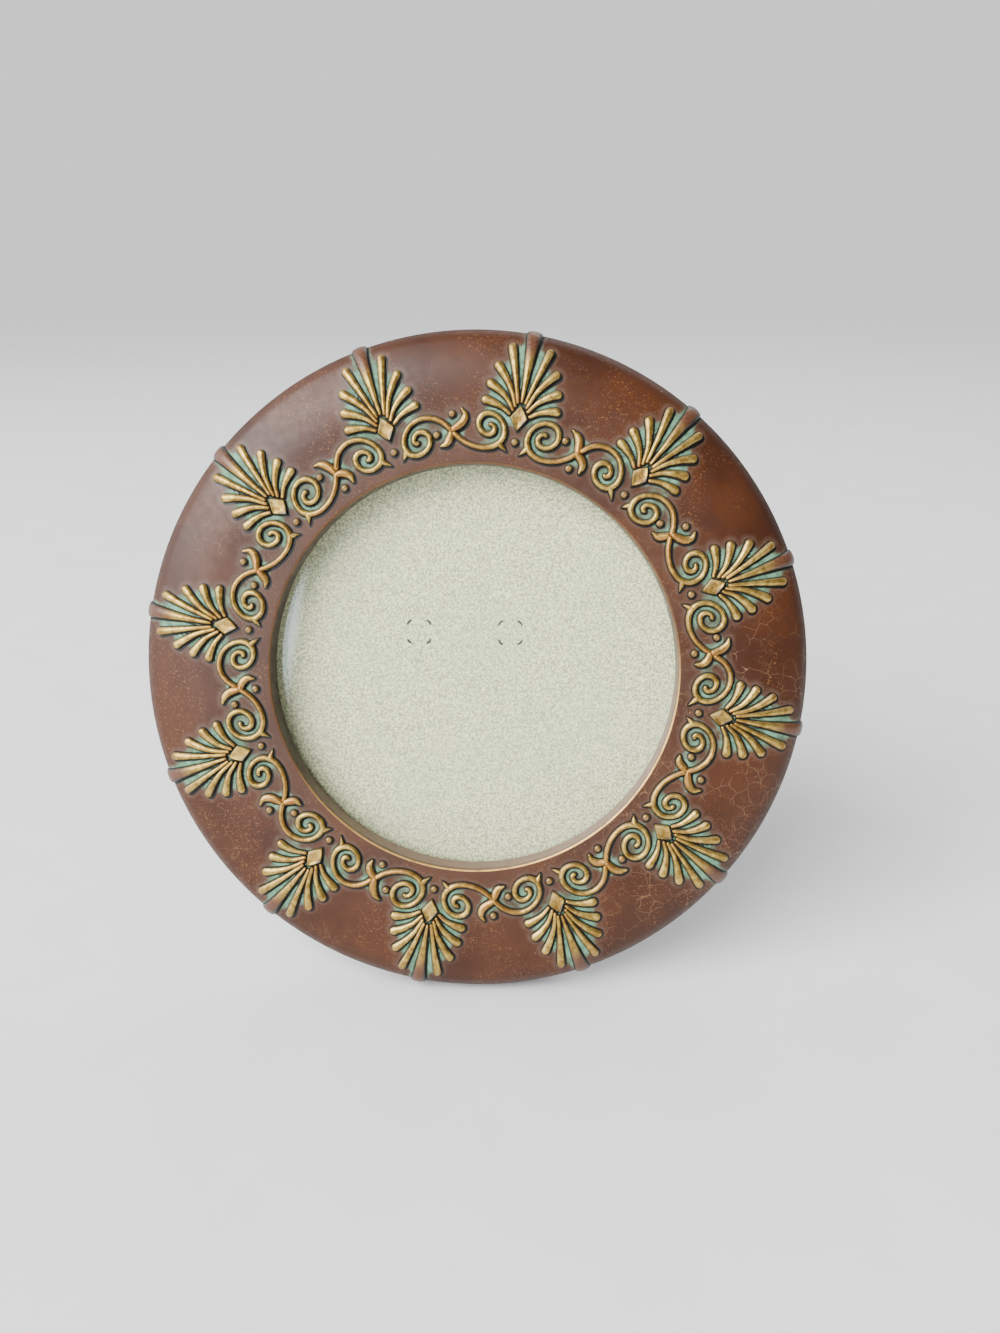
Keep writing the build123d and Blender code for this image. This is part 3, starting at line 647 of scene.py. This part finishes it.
def resin_material():
    """Reddish-brown lacquered resin: mottled, gold-dusted, with green and black in the hollows, the black
    widened as painted shadow on the strokes' side away from the window, painted shade round the rim and at
    the top of the well, and painted light at its lower right.
    """
    s = Shader("lacquered_resin")
    near, foot, crowd, length = (s.attribute(key) for key in ("near", "foot", "crowd", "length"))
    broad, fine, grain = s.noise(18, 3), s.noise(2.4, 4, 0.6), s.noise(0.55, 3, 0.7)
    front = s.ramp(length, waist_length + WAIST_HEIGHT, waist_length + 1)
    x, y, z = s.axes(s.where)
    # Lacquer, with painted shade round the rim where the face turns away, with gold dust, and hazy
    # beside the strokes and on the inner edge
    brown = s.mix(s.ramp(broad, 0.35, 0.65), (0.038, 0.0100, 0.0024), (0.064, 0.0186, 0.0052))
    brown = s.mix(s.ramp(fine, 0.35, 0.7, 0.0, 0.4), brown, (0.038, 0.010, 0.004))
    # Painted shade: the lacquer darkens towards the rim
    rim = s.ramp(length, waist_length - 10, waist_length + 1)
    brown = s.mix(s.times(rim, 0.6), brown, (0.026, 0.009, 0.005))
    dust = s.times(front, s.ramp(s.noise(13, 2), 0.40, 0.60), s.ramp(grain, 0.55, 0.70))
    brown = s.mix(s.times(dust, 0.5), brown, (0.30, 0.13, 0.045))
    inner = s.ramp(length, crown_arris - 0.5, crown_arris + 0.5)
    inner = s.times(s.ramp(length, -5.5, -9.0, 0.0, 0.22), inner)
    haze = s.math("MAXIMUM", s.ramp(near, 0.3, 1.9, 0.62, 0.0), inner)
    haze = s.times(haze, s.ramp(fine, 0.25, 0.72, 0.55, 1.0))
    brown = s.mix(haze, brown, (0.105, 0.062, 0.043))
    # Green where strokes crowd, and black at their feet: a dark wash, widened on their side away from
    # the window as painted shadow
    hemmed = s.plus(crowd, s.times(s.minus(s.noise(3.0, 3, 0.6), 0.5), 0.35))
    patch = s.times(s.ramp(hemmed, 0.35, 0.55), s.ramp(near, 1.5, 0.7))
    green = s.mix(s.ramp(fine, 0.35, 0.65), (0.072, 0.165, 0.100), (0.175, 0.345, 0.225))
    colour = s.mix(s.times(patch, 0.92), brown, green)
    colour = s.mix(s.ramp(foot, 0.46, 0.12), colour, (0.005, 0.004, 0.003))
    # Crackle at the lower right and lower left, and small chips
    crackle = s.cells(4.2, "DISTANCE_TO_EDGE", s.shifted(2.2, 3.0))
    low_right = s.times(s.ramp(x, 0.0, 0.05), s.ramp(z, 0.125, 0.085))
    low_left = s.times(s.ramp(x, -0.02, -0.06), s.ramp(z, 0.06, 0.02))
    aged = s.times(s.math("MAXIMUM", low_right, low_left), s.ramp(s.noise(9, 2), 0.42, 0.56))
    lines = s.times(s.ramp(crackle, 0.013, 0.003), aged, s.ramp(near, 0.6, 1.2), front)
    colour = s.mix(s.times(lines, 0.38), colour, (0.36, 0.22, 0.11))
    chips = s.times(s.ramp(s.cells(2.6), 0.075, 0.045), s.ramp(s.noise(6, 2), 0.60, 0.66))
    chips = s.times(chips, front, s.ramp(near, 0.5, 0.9))
    colour = s.mix(s.times(chips, 0.6), colour, (0.50, 0.36, 0.22))
    # The well, painted dark at the top as shade and pale at the lower right as painted light, and the
    # gold worn on its arris, held mostly to the lower right as a painted highlight
    arris = s.ramp(length, crown_arris - 0.40, crown_arris - 0.24)
    arris = s.times(s.ramp(length, crown_arris + 0.08, crown_arris - 0.03), arris)
    rise = s.minus(z, standing([(0, 0, 0)])[0][2])
    low = s.minus(s.times(x, LOW_SIDE[0]), s.times(rise, LOW_SIDE[1]))
    low = s.ramp(low, 0.000, 0.034, 0.10, 1.0)
    # The arris's gold is worn gilt, held mostly to the lower right, where the edge catches the light, as a
    # painted highlight
    worn = s.times(arris, low, s.ramp(s.noise(3.5, 4, 0.7), 0.28, 0.55, 0.45, 1.0))
    well = s.ramp(length, crown_arris - 1.2, crown_arris - 4.0, 0.0, 0.8)
    well = s.times(well, s.ramp(length, crown_arris - 16, crown_arris - 15))
    # Painted shade at the top of the well
    colour = s.mix(s.times(well, s.minus(1.0, low)), colour, (0.012, 0.006, 0.004))
    # Painted light at the lower right of the well, where it faces the light
    colour = s.mix(s.times(well, s.times(low, 0.6)), colour, (0.30, 0.19, 0.14))
    s.set("Base Color", s.mix(worn, colour, (0.60, 0.36, 0.115)))
    s.set("Metallic", s.times(worn, 0.75))
    rough = s.plus(s.ramp(fine, 0.3, 0.7, 0.36, 0.46), s.times(patch, 0.35))
    s.set("Roughness", s.plus(rough, s.ramp(length, waist_length - 6, waist_length + 1, 0.0, 0.44)))
    s.set("Specular IOR Level", 0.30)
    height = s.plus(s.times(fine, 0.45), s.times(grain, 0.3))
    s.bump(s.minus(height, s.times(lines, 0.8)), 0.3, 0.11)
    return s.material


def gilt_material():
    """Antique gold rubbed on the raised strokes, copper where it is thin, dark at their feet, with a painted
    highlight on the flanks towards the window and painted shade on those away from it.
    """
    s = Shader("antique_gilt")
    lift, copper, fade, away = (s.attribute(key) for key in ("lift", "copper", "fade", "away"))
    mottle, fine = s.noise(1.6, 4, 0.65), s.noise(0.45, 3, 0.6)
    gold = s.mix(s.ramp(mottle, 0.35, 0.68), (0.24, 0.138, 0.028), (0.60, 0.418, 0.104))
    red = s.mix(s.ramp(fine, 0.3, 0.7), (0.26, 0.075, 0.018), (0.46, 0.185, 0.048))
    brown = s.mix(s.ramp(fine, 0.3, 0.7), (0.055, 0.017, 0.007), (0.125, 0.046, 0.018))
    blots = s.ramp(s.noise(3.0, 3), 0.52, 0.74, 0.0, 0.45)
    thin = s.math("ADD", s.ramp(copper, 0.1, 1.0, 0.0, 0.68), blots, clamp=True)
    colour = s.mix(s.times(thin, s.ramp(mottle, 0.28, 0.60)), gold, red)
    # Painted highlight: the flanks that face the window are mixed towards a pale gold
    colour = s.mix(s.ramp(away, -0.25, -0.85, 0.0, 0.5), colour, (0.80, 0.60, 0.26))
    bare = s.ramp(s.plus(fade, s.times(mottle, 0.5)), 0.60, 1.10)
    colour = s.mix(bare, colour, brown)
    edge = s.plus(lift, s.times(s.minus(fine, 0.5), 0.45))
    # Painted shade: on the flanks away from the window the gilding and its metal give way to the dark wash of
    # the strokes' feet
    gilded = s.times(s.ramp(edge, 0.32, 0.72), s.ramp(away, 0.90, 0.40))
    foot = s.mix(s.ramp(s.noise(2.2, 3), 0.50, 0.66), (0.008, 0.006, 0.004), (0.024, 0.030, 0.017))
    colour = s.mix(gilded, foot, colour)
    pits = s.times(s.ramp(s.cells(0.9), 0.16, 0.08), s.ramp(s.noise(2.0, 2), 0.52, 0.62))
    s.set("Base Color", s.mix(s.times(pits, 0.8), colour, (0.04, 0.022, 0.010)))
    s.set("Metallic", s.times(gilded, s.ramp(bare, 0.0, 1.0, 0.85, 0.10)))
    s.set("Roughness", s.ramp(fine, 0.3, 0.7, 0.30, 0.46))
    s.bump(s.plus(s.times(fine, 0.6), s.times(mottle, 0.8)), 0.45, 0.13)
    return s.material


GLASS_TINT = (0.975, 0.985, 0.98)


def glass_material():
    """Clear glass that is bare to shadow and diffuse rays, so that the board behind it is lit."""
    s = Shader("clear_glass")
    s.set("Base Color", GLASS_TINT)
    s.set("Roughness", 0.0)
    s.set("IOR", 1.5)
    s.set("Transmission Weight", 1.0)
    clear = s.add("ShaderNodeBsdfTransparent", {"Color": GLASS_TINT})
    path = s.add("ShaderNodeLightPath")
    bare = s.math("MAXIMUM", path.outputs["Is Shadow Ray"], path.outputs["Is Diffuse Ray"])
    mixed = s.add("ShaderNodeMixShader", {0: bare, 1: s.principled.outputs[0], 2: clear.outputs[0]})
    s.feed(s.tree.nodes["Material Output"].inputs["Surface"], mixed.outputs[0])
    return s.material


# Marks on the board, from its middle in millimetres: the two rivets' slits, then x, y and radius
MARK_MIDDLE = (-2.88, 9.05)
MARK_SPACING = 24.05
MARK_HALF_SIDE = 3.05
MARK_CORNER = 1.3
BOARD_SPECKS = ((19.8, -26.6, 0.42), (-34.6, -15.2, 0.30), (-13.4, 7.9, 0.16))
STAINS = ((-8.5, -21.0, 5.5),)


def board_material():
    """Greyboard: pale grey-green pulp with fine fibres and flecks, and the slits of two rivets."""
    s = Shader("greyboard")
    x, y, z = s.axes(s.where)
    across = s.math("DIVIDE", x, MM)
    up = s.math("DIVIDE", s.minus(z, standing([(0, 0, GLASS_BACK)])[0][2]), MM * cos(LEAN))
    pulp, fibre, cloud = s.noise(0.58, 3, 0.8), s.noise(0.36, 2, 0.6, distortion=1.5), s.noise(26, 2)
    colour = s.mix(s.ramp(pulp, 0.40, 0.60), (0.29, 0.30, 0.178), (0.84, 0.86, 0.52))
    colour = s.mix(s.ramp(fibre, 0.45, 0.70, 0.0, 0.5), colour, (0.82, 0.83, 0.57))
    colour = s.mix(s.ramp(cloud, 0.4, 0.7, 0.0, 0.2), colour, (0.56, 0.57, 0.41))
    flecks = s.times(s.ramp(s.cells(1.6), 0.085, 0.045), s.ramp(s.noise(3.5, 2), 0.50, 0.60))
    colour = s.mix(s.times(flecks, 0.45), colour, (0.17, 0.17, 0.14))

    def root(a, b):
        return s.math("SQRT", s.plus(s.times(a, a), s.times(b, b)))

    for places, edge, share, tint in ((STAINS, 0.3, 0.3, (0.60, 0.56, 0.36)),
                                      (BOARD_SPECKS, 0.5, 0.8, (0.10, 0.10, 0.09))):
        for right, high, size in places:
            gap = root(s.minus(across, right), s.minus(up, high))
            colour = s.mix(s.ramp(gap, size, edge * size, 0.0, share), colour, tint)
    corner = MARK_HALF_SIDE - MARK_CORNER
    side = s.math("ABSOLUTE", s.minus(across, MARK_MIDDLE[0]))
    side = s.math("ABSOLUTE", s.minus(side, MARK_SPACING / 2))
    rise = s.math("ABSOLUTE", s.minus(up, MARK_MIDDLE[1]))
    out, above = s.minus(side, corner), s.minus(rise, corner)
    wander = s.times(s.minus(s.noise(0.8, 2), 0.5), 0.5)
    edge = s.minus(s.plus(root(out, above), wander), MARK_CORNER)
    within = s.ramp(s.math("MINIMUM", out, above), -0.05, 0.35)
    slit = s.times(s.ramp(s.math("ABSOLUTE", edge), 0.44, 0.18), within)
    burr = s.times(s.ramp(s.math("ABSOLUTE", s.minus(edge, 0.38)), 0.26, 0.05), within)
    colour = s.mix(s.times(burr, 0.7), colour, (0.86, 0.86, 0.76))
    colour = s.mix(s.times(slit, 0.95), colour, (0.020, 0.020, 0.016))
    s.set("Base Color", colour)
    s.set("Roughness", 0.92)
    s.set("Specular IOR Level", 0.2)
    height = s.plus(s.times(pulp, 0.8), s.times(fibre, 0.4))
    height = s.plus(height, s.times(burr, 0.8))
    s.bump(s.minus(height, s.times(slit, 2.5)), 0.45, 0.10)
    return s.material


def velour_material():
    """Black flocked velour, with a nap that catches light in drifts."""
    s = Shader("black_velour")
    nap, drift = s.noise(0.18, 3, 0.7), s.noise(9, 3)
    colour = s.mix(s.ramp(drift, 0.35, 0.7), (0.010, 0.010, 0.012), (0.022, 0.022, 0.026))
    colour = s.mix(s.ramp(nap, 0.55, 0.8, 0.0, 0.6), colour, (0.060, 0.058, 0.060))
    s.set("Base Color", colour)
    s.set("Roughness", 0.95)
    s.set("Specular IOR Level", 0.15)
    s.set("Sheen Weight", 0.5)
    s.set("Sheen Roughness", 0.45)
    s.set("Sheen Tint", (0.75, 0.75, 0.8))
    s.bump(nap, 0.8, 0.12)
    return s.material


def metal_material(name, pale, dull, rough):
    """Plated pressed metal with brushed grain, dulled in patches."""
    s = Shader(name)
    patch, grain = s.noise(3.0, 4, 0.65), s.noise(0.25, 2)
    s.set("Base Color", s.mix(s.ramp(patch, 0.42, 0.75), pale, dull))
    s.set("Metallic", 1.0)
    s.set("Roughness", s.ramp(patch, 0.3, 0.8, rough, rough + 0.2))
    s.bump(grain, 0.25, 0.03)
    return s.material


# Pieces behind the casting, drawn lying like it. Sizes are those of the part's source; the leg
# and its leaf are drawn folded and then opened

STACK_RADIUS = 56.0
VELOUR_BACK, BOARD_BACK, GLASS_BACK, GLASS_FRONT = 0.1, 1.0, 4.0, 6.0
AIR = 0.05
HINGE_PIN = np.array((-2.9, 2.0, -1.8))
KNUCKLE_RADIUS = 1.6
KNUCKLE_GAP = 5.8
PIN_RADIUS = 0.9
PIN_HALF = 17.5
PLATE = 0.7
LEAF_BACK = -0.6
LEAF_HALF = 17.0
LEAF_TOP = 15.0
NOTCH_TOP = 3.9
LEAF_RIVETS = ((-12.0, 9.0), (12.0, 9.0))
LEG_OPENING = radians(27)
LEG_LEAF_HALF = 11.0
LEG_LEAF_LOW, LEG_LEAF_TOP = -12.0, 0.1
TAB_HALF = 5.5
TAB_LOW = -2.6
STOP_TOP = 8.2
STOP_BACK = -1.33
LEG_FRONT, LEG_BACK, LEG_VELOUR_BACK = -0.9, -3.9, -4.7
LEG_TOP, LEG_LOW = -0.4, -84.766
LEG_TOP_HALF, LEG_FOOT_HALF = 13.5, 20.0
LEG_RIVETS = ((-6.5, -8.0), (6.5, -8.0))
VELOUR_INSET = 0.5
BUTTONS = 4
BUTTON_RADIUS = 64.5
BUTTON_BACK = -1.2
BUTTON_THICK = 1.0
BUTTON_CORNERS = ((4.0, 4.0), (2.75, -9.5), (-2.75, -9.5), (-4.0, 4.0))
BUTTON_ROUND = 1.9
SCREW_RADIUS = 2.75
SCREW_HEIGHT = 1.15
SLOT_HALF = 0.36
SHANK_RADIUS = 1.35
SHANK_END = 1.0
RIVET_DOME = ((3.05, 0.0), (3.0, 0.2), (2.75, 0.5), (2.2, 0.78), (1.4, 0.98), (0.6, 1.08))


def rounded(corners, radii):
    """Closed outline with its corners rounded by the radii, 0 for a sharp one."""
    corners = [np.array(corner, float) for corner in corners]
    outline = []
    for i, (corner, radius) in enumerate(zip(corners, radii)):
        if not radius:
            outline.append(corner)
            continue
        before, after = unit(corners[i - 1] - corner), unit(corners[(i + 1) % len(corners)] - corner)
        half = np.arccos(np.clip(before @ after, -1, 1)) / 2
        centre = corner + unit(before + after) * radius / sin(half)
        start = corner + before * radius / np.tan(half) - centre
        end = corner + after * radius / np.tan(half) - centre
        for share in np.linspace(0, 1, 8):
            outline.append(centre + unit(start * (1 - share) + end * share) * radius)
    return np.array(outline)


def plate(half, low, high, radii):
    """Outline of a plate about the hinge's middle, rounded at its low and its high corners."""
    corners = ((-half, low), (half, low), (half, high), (-half, high))
    return rounded(corners, (radii[0], radii[0], radii[1], radii[1])) + HINGE_PIN[:2] * (1, 0)


def rotated(points, turn, first=0, second=1):
    """Points turned in the plane of two of their axes."""
    points = np.array(points, float)
    a, b = points[:, first].copy(), points[:, second].copy()
    points[:, first] = a * cos(turn) - b * sin(turn)
    points[:, second] = a * sin(turn) + b * cos(turn)
    return points


def slab(outline, low, high, bevel):
    """Flat piece between two heights, its edges eased by a small bevel."""
    inset = outline - unit(outline - outline.mean(0)) * bevel
    loops = ((inset, low), (outline, low + bevel), (outline, high - bevel), (inset, high))
    points = np.concatenate([np.column_stack((spots, np.full(len(spots), z))) for spots, z in loops])
    return points, [face[::-1] for face in shell_faces(4, len(outline))]


def turned(profile, count=32):
    """Round piece from radii and heights, standing out to the back, closed by flat ends."""
    points = [np.column_stack((circle(radius, count), np.full(count, -height))) for radius, height in profile]
    return np.concatenate(points), shell_faces(len(profile), count)


def rod(low, high, radius, bevel=0.15):
    """Round bar along the hinge's pin."""
    points, faces = turned(((radius - bevel, -low), (radius, -low - bevel), (radius, -high + bevel),
                            (radius - bevel, -high)))
    return points[:, ::-1] + HINGE_PIN, faces


def slotted_head(turn):
    """Low domed screw head with a slot across it, standing out to the back."""
    lines = np.array((-0.99, -0.8, -0.55, -0.3)) * SCREW_RADIUS
    slot = (-SLOT_HALF - 0.04, -SLOT_HALF, 0, SLOT_HALF, SLOT_HALF + 0.04)
    lines = np.concatenate((lines, slot, -lines[::-1]))
    shares = np.linspace(-1, 1, 17)
    points = []
    for u in lines:
        for share in shares:
            v = share * np.sqrt(SCREW_RADIUS ** 2 - u ** 2)
            fall = np.sqrt(max(0, 1 - (u * u + v * v) / SCREW_RADIUS ** 2 * 0.98))
            dome = SCREW_HEIGHT * (0.45 + 0.55 * fall)
            points.append((u, v, -dome * 0.4 if abs(u) <= SLOT_HALF else -dome))
    faces = [face[::-1] for face in grid_faces(len(lines), len(shares), columns_close=False)]
    count = len(shares)
    rim = [i * count for i in range(len(lines))]
    rim += list(range((len(lines) - 1) * count, len(lines) * count))[1:]
    rim += [i * count + count - 1 for i in range(len(lines) - 1)][::-1] + list(range(1, count - 1))[::-1]
    start = len(points)
    points += [(points[i][0], points[i][1], 0.0) for i in rim]
    for i in range(len(rim)):
        j = (i + 1) % len(rim)
        faces.append((rim[i], rim[j], start + j, start + i))
    faces.append(tuple(range(start, start + len(rim)))[::-1])
    return rotated(points, turn), faces


def opened(points):
    """Points of the folded leg, turned about the pin to where it stands."""
    return rotated(points - HINGE_PIN, LEG_OPENING, 1, 2) + HINGE_PIN


def above_table(points, gap):
    """Standing points of the leg, with those below the table drawn back up along the leg."""
    down = standing(opened(np.array([(0, -1.0, 0), (0, 0.0, 0)])))
    down = (down[0] - down[1]) / MM
    sunk = np.minimum(points[:, 2] - gap * MM, 0)
    return points - down * (sunk / down[2])[:, None]


def put(name, solids, material, body, gap=None):
    """One piece in place of a CAD node, from closed shells of lying points."""
    gathered = Gathered()
    for points, faces in solids:
        gathered.add(points, faces)
    points = standing(np.concatenate(gathered.points))
    if gap is not None:
        points = above_table(points, gap)
    piece = new_object("shown_" + name, points, gathered.faces, material)
    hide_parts(name)
    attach(piece, body)


def rivets(places, back):
    """Domed rivet heads at places from the pin's middle across and from the frame's middle up."""
    head, faces = turned(RIVET_DOME)
    return [(head + (HINGE_PIN[0] + x, y, back), faces) for x, y in places]


def make_stack():
    """Glass, board and velour in the casting's step."""
    outline = circle(STACK_RADIUS, 128)
    glass = slab(outline, GLASS_BACK + AIR, GLASS_FRONT, 0.2)
    put("glass_disc", [glass], glass_material(), "frame")
    put("back_board", [slab(outline, BOARD_BACK, GLASS_BACK, 0.05)], board, "frame")
    put("board_velour", [slab(outline, VELOUR_BACK, BOARD_BACK, 0.15)], velour, "frame")


def make_hinge():
    """Pressed leaves, rolled knuckles and domed rivets round the pin."""
    half, gap, bottom = LEAF_HALF, KNUCKLE_GAP, HINGE_PIN[1]
    outline = rounded([(-half, bottom), (-gap, bottom), (-gap, NOTCH_TOP), (gap, NOTCH_TOP), (gap, bottom),
                       (half, bottom), (half, LEAF_TOP), (-half, LEAF_TOP)], (0, 0, 0, 0, 0, 0, 3, 3))
    upper = [slab(outline + (HINGE_PIN[0], 0), LEAF_BACK, LEAF_BACK + PLATE, 0.1),
             rod(-half, -gap, KNUCKLE_RADIUS), rod(gap, half, KNUCKLE_RADIUS)]
    put("hinge_board_leaf", upper + rivets(LEAF_RIVETS, LEAF_BACK), plated, "frame")
    put("hinge_pin", [rod(-PIN_HALF, PIN_HALF, PIN_RADIUS)], plated, "frame")
    lower = []
    for outline in (plate(LEG_LEAF_HALF, LEG_LEAF_LOW, LEG_LEAF_TOP, (3, 0.3)),
                    plate(TAB_HALF, TAB_LOW, bottom, (0, 0))):
        points, faces = slab(outline, LEG_FRONT, LEG_FRONT + PLATE, 0.08)
        lower.append((opened(points), faces))
    stop = plate(TAB_HALF, bottom, STOP_TOP, (0, 0.8))
    lower += [rod(-TAB_HALF, TAB_HALF, KNUCKLE_RADIUS), slab(stop, STOP_BACK, STOP_BACK + PLATE, 0.08)]
    put("hinge_leg_leaf", lower, plated, "leg")


def leg_outline(inset):
    """Tapered outline of the leg, wider at its foot, drawn in by an inset."""
    foot, top = LEG_FOOT_HALF - inset, LEG_TOP_HALF - inset
    low, high = LEG_LOW + inset, LEG_TOP - inset
    radii = (4 - inset, 4 - inset, 5 - inset, 5 - inset)
    return rounded(((-foot, low), (foot, low), (top, high), (-top, high)), radii) + (HINGE_PIN[0], 0)


def make_leg():
    """Tapered board leg, its velour back and the two rivets through it."""
    points, faces = slab(leg_outline(0), LEG_BACK, LEG_FRONT, 0.1)
    put("leg_board", [(opened(points), faces)], board, "leg", gap=0)
    points, faces = slab(leg_outline(VELOUR_INSET), LEG_VELOUR_BACK, LEG_BACK, 0.1)
    put("leg_velour", [(opened(points), faces)], velour, "leg", gap=0.5)
    heads = [(opened(points), faces) for points, faces in rivets(LEG_RIVETS, LEG_VELOUR_BACK)]
    put("leg_rivets", heads, riveted, "leg")


def make_buttons():
    """Four turn buttons and the slotted screws that they swing on."""
    outline = rounded(BUTTON_CORNERS, (BUTTON_ROUND,) * 4)
    screws = []
    for i in range(BUTTONS):
        turn = radians(45 + 90 * i)
        middle = np.array((0, BUTTON_RADIUS, 0))
        points, faces = slab(outline, BUTTON_BACK, BUTTON_BACK + BUTTON_THICK, 0.12)
        number = str(i + 1)
        button = (rotated(points + middle, turn), faces)
        put("turn_button_" + number, [button], brass, "button_" + number)
        points, faces = slotted_head(0.5 + 0.9 * i)
        screws.append((rotated(points + middle + (0, 0, BUTTON_BACK - AIR), turn), faces))
        points, faces = turned(((SHANK_RADIUS, -SHANK_END), (SHANK_RADIUS, 0.06 - BUTTON_BACK)), 16)
        screws.append((rotated(points + middle, turn), faces))
    put("button_screws", screws, screw_metal, "frame")


resin = resin_material()
gilt = gilt_material()
board = board_material()
velour = velour_material()
plated = metal_material("hinge_steel", (0.62, 0.61, 0.58), (0.38, 0.37, 0.35), 0.36)
riveted = metal_material("rivet_steel", (0.66, 0.65, 0.62), (0.40, 0.38, 0.35), 0.30)
screw_metal = metal_material("screw_steel", (0.64, 0.62, 0.57), (0.36, 0.34, 0.30), 0.34)
brass = metal_material("button_brass", (0.74, 0.56, 0.28), (0.45, 0.32, 0.16), 0.32)
casting = make_casting(resin)
ornament = make_ornament(gilt)
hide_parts("frame_ring")
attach(casting, "frame")
for piece in ornament:
    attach(piece, "frame")
make_stack()
make_hinge()
make_leg()
make_buttons()

# Stage, light and camera

FLOOR_SIZE = 30.0
FADE_START, FADE_END = 0.5, 3.0
LIGHT_AIM = 0.08
WORLD_BASE = 0.31
WORLD_LEFT = 2.4
WORLD_BACK = 0.72
WORLD_COLOUR = (0.98, 0.99, 1.0)
PANE_GAIN = 9.0
PANE_COLOUR = (0.72, 0.87, 1.0)
PANE_SLANT = 0.134
PANE_RIGHT = (-0.227, -0.239)
PANE_LEFT = (-0.50, -0.34)
PANE_SILL = (0.0, 0.08)
PANE_HEAD = (0.31, 0.25)
CAMERA_AZIMUTH = radians(1.76)
CAMERA_ELEVATION = radians(21.8)
CAMERA_DISTANCE = 279.57
CAMERA_AIM = (6.82, 1.33)
DIAMOND_PLANE = 14.4
FOCAL_PIXELS = 1100
PHOTO_HEIGHT = 1333


def make_floor():
    """Pale floor that turns far off into light of the room's own strength, so that no horizon shows."""
    s = Shader("pale_floor")
    away = s.add("ShaderNodeVectorMath", {0: s.where}, operation="LENGTH")
    towards = s.add("ShaderNodeVectorMath", {0: s.where}, operation="NORMALIZE")
    far = s.ramp(away.outputs["Value"], FADE_START, FADE_END)
    pale = s.mix(s.ramp(s.noise(30, 3), 0.3, 0.7), (0.76, 0.76, 0.755), (0.79, 0.79, 0.785))
    s.set("Base Color", s.mix(far, pale, (0.0, 0.0, 0.0)))
    s.set("Roughness", 0.8)
    s.set("Specular IOR Level", 0.0)
    s.set("Emission Color", WORLD_COLOUR)
    s.set("Emission Strength", s.times(far, s.room(towards.outputs[0])))
    corners = [(x * FLOOR_SIZE, y * FLOOR_SIZE, 0.0) for x, y in ((-1, -1), (1, -1), (1, 1), (-1, 1))]
    floor = new_object("floor", corners, [(0, 1, 2, 3)], s.material)


def facing_back(azimuth, elevation):
    """Direction from the frame back to a camera or light, the azimuth counted from the front."""
    return np.array((sin(azimuth) * cos(elevation), -cos(azimuth) * cos(elevation), sin(elevation)))


def area_light(name, azimuth, elevation, distance, size, power, colour=(1, 1, 1)):
    """Soft box that faces the frame."""
    data = bpy.data.lights.new(name, "AREA")
    data.shape = "RECTANGLE"
    data.size, data.size_y = size
    data.energy = power
    data.color = colour
    light = placed(name, data)
    back = Vector(facing_back(radians(azimuth), radians(elevation)))
    light.location = Vector((0, 0, LIGHT_AIM)) + back * distance
    light.rotation_euler = back.to_track_quat("Z", "Y").to_euler()


def make_lights():
    """Soft room light, brighter from the left, with a window pane low at the left and two soft boxes."""
    world = bpy.data.worlds.new("studio")
    bpy.context.scene.world = world
    world.use_nodes = True
    s = Nodes(world.node_tree)
    direction = s.add("ShaderNodeTexCoord").outputs["Generated"]
    x, y, z = s.axes(direction)
    pane = s.times(s.ramp(s.minus(x, s.times(z, PANE_SLANT)), *PANE_RIGHT), s.ramp(x, *PANE_LEFT))
    pane = s.times(pane, s.ramp(z, *PANE_SILL), s.ramp(z, *PANE_HEAD), s.ramp(y, 0.0, -0.3))
    background = s.tree.nodes["Background"]
    s.feed(background.inputs["Color"], s.mix(pane, WORLD_COLOUR, PANE_COLOUR))
    s.feed(background.inputs["Strength"], s.plus(s.room(direction), s.times(pane, PANE_GAIN)))
    area_light("window", azimuth=-42, elevation=38, distance=2.4, size=(2.1, 1.8), power=160.0,
               colour=WORLD_COLOUR)
    area_light("behind", azimuth=160, elevation=45, distance=2.4, size=(1.6, 1.1), power=12.0)


def make_camera():
    """Camera of the photograph: without roll, aimed a little right of and above the ring's middle."""
    back = facing_back(CAMERA_AZIMUTH, CAMERA_ELEVATION)
    right = np.array((cos(CAMERA_AZIMUTH), sin(CAMERA_AZIMUTH), 0.0))
    up = np.cross(back, right)
    centre = standing([(0, 0, DIAMOND_PLANE)])[0]
    place = centre + (right * CAMERA_AIM[0] + up * CAMERA_AIM[1] + back * CAMERA_DISTANCE) * MM
    data = bpy.data.cameras.new("camera")
    data.sensor_width = 36
    data.lens = data.sensor_width * FOCAL_PIXELS / PHOTO_HEIGHT
    data.clip_start, data.clip_end = 0.01, 100
    camera = placed("camera", data)
    camera.matrix_world = Matrix([*np.column_stack((right, up, back, place)).tolist(), (0, 0, 0, 1)])
    bpy.context.scene.camera = camera


make_floor()
make_lights()
make_camera()
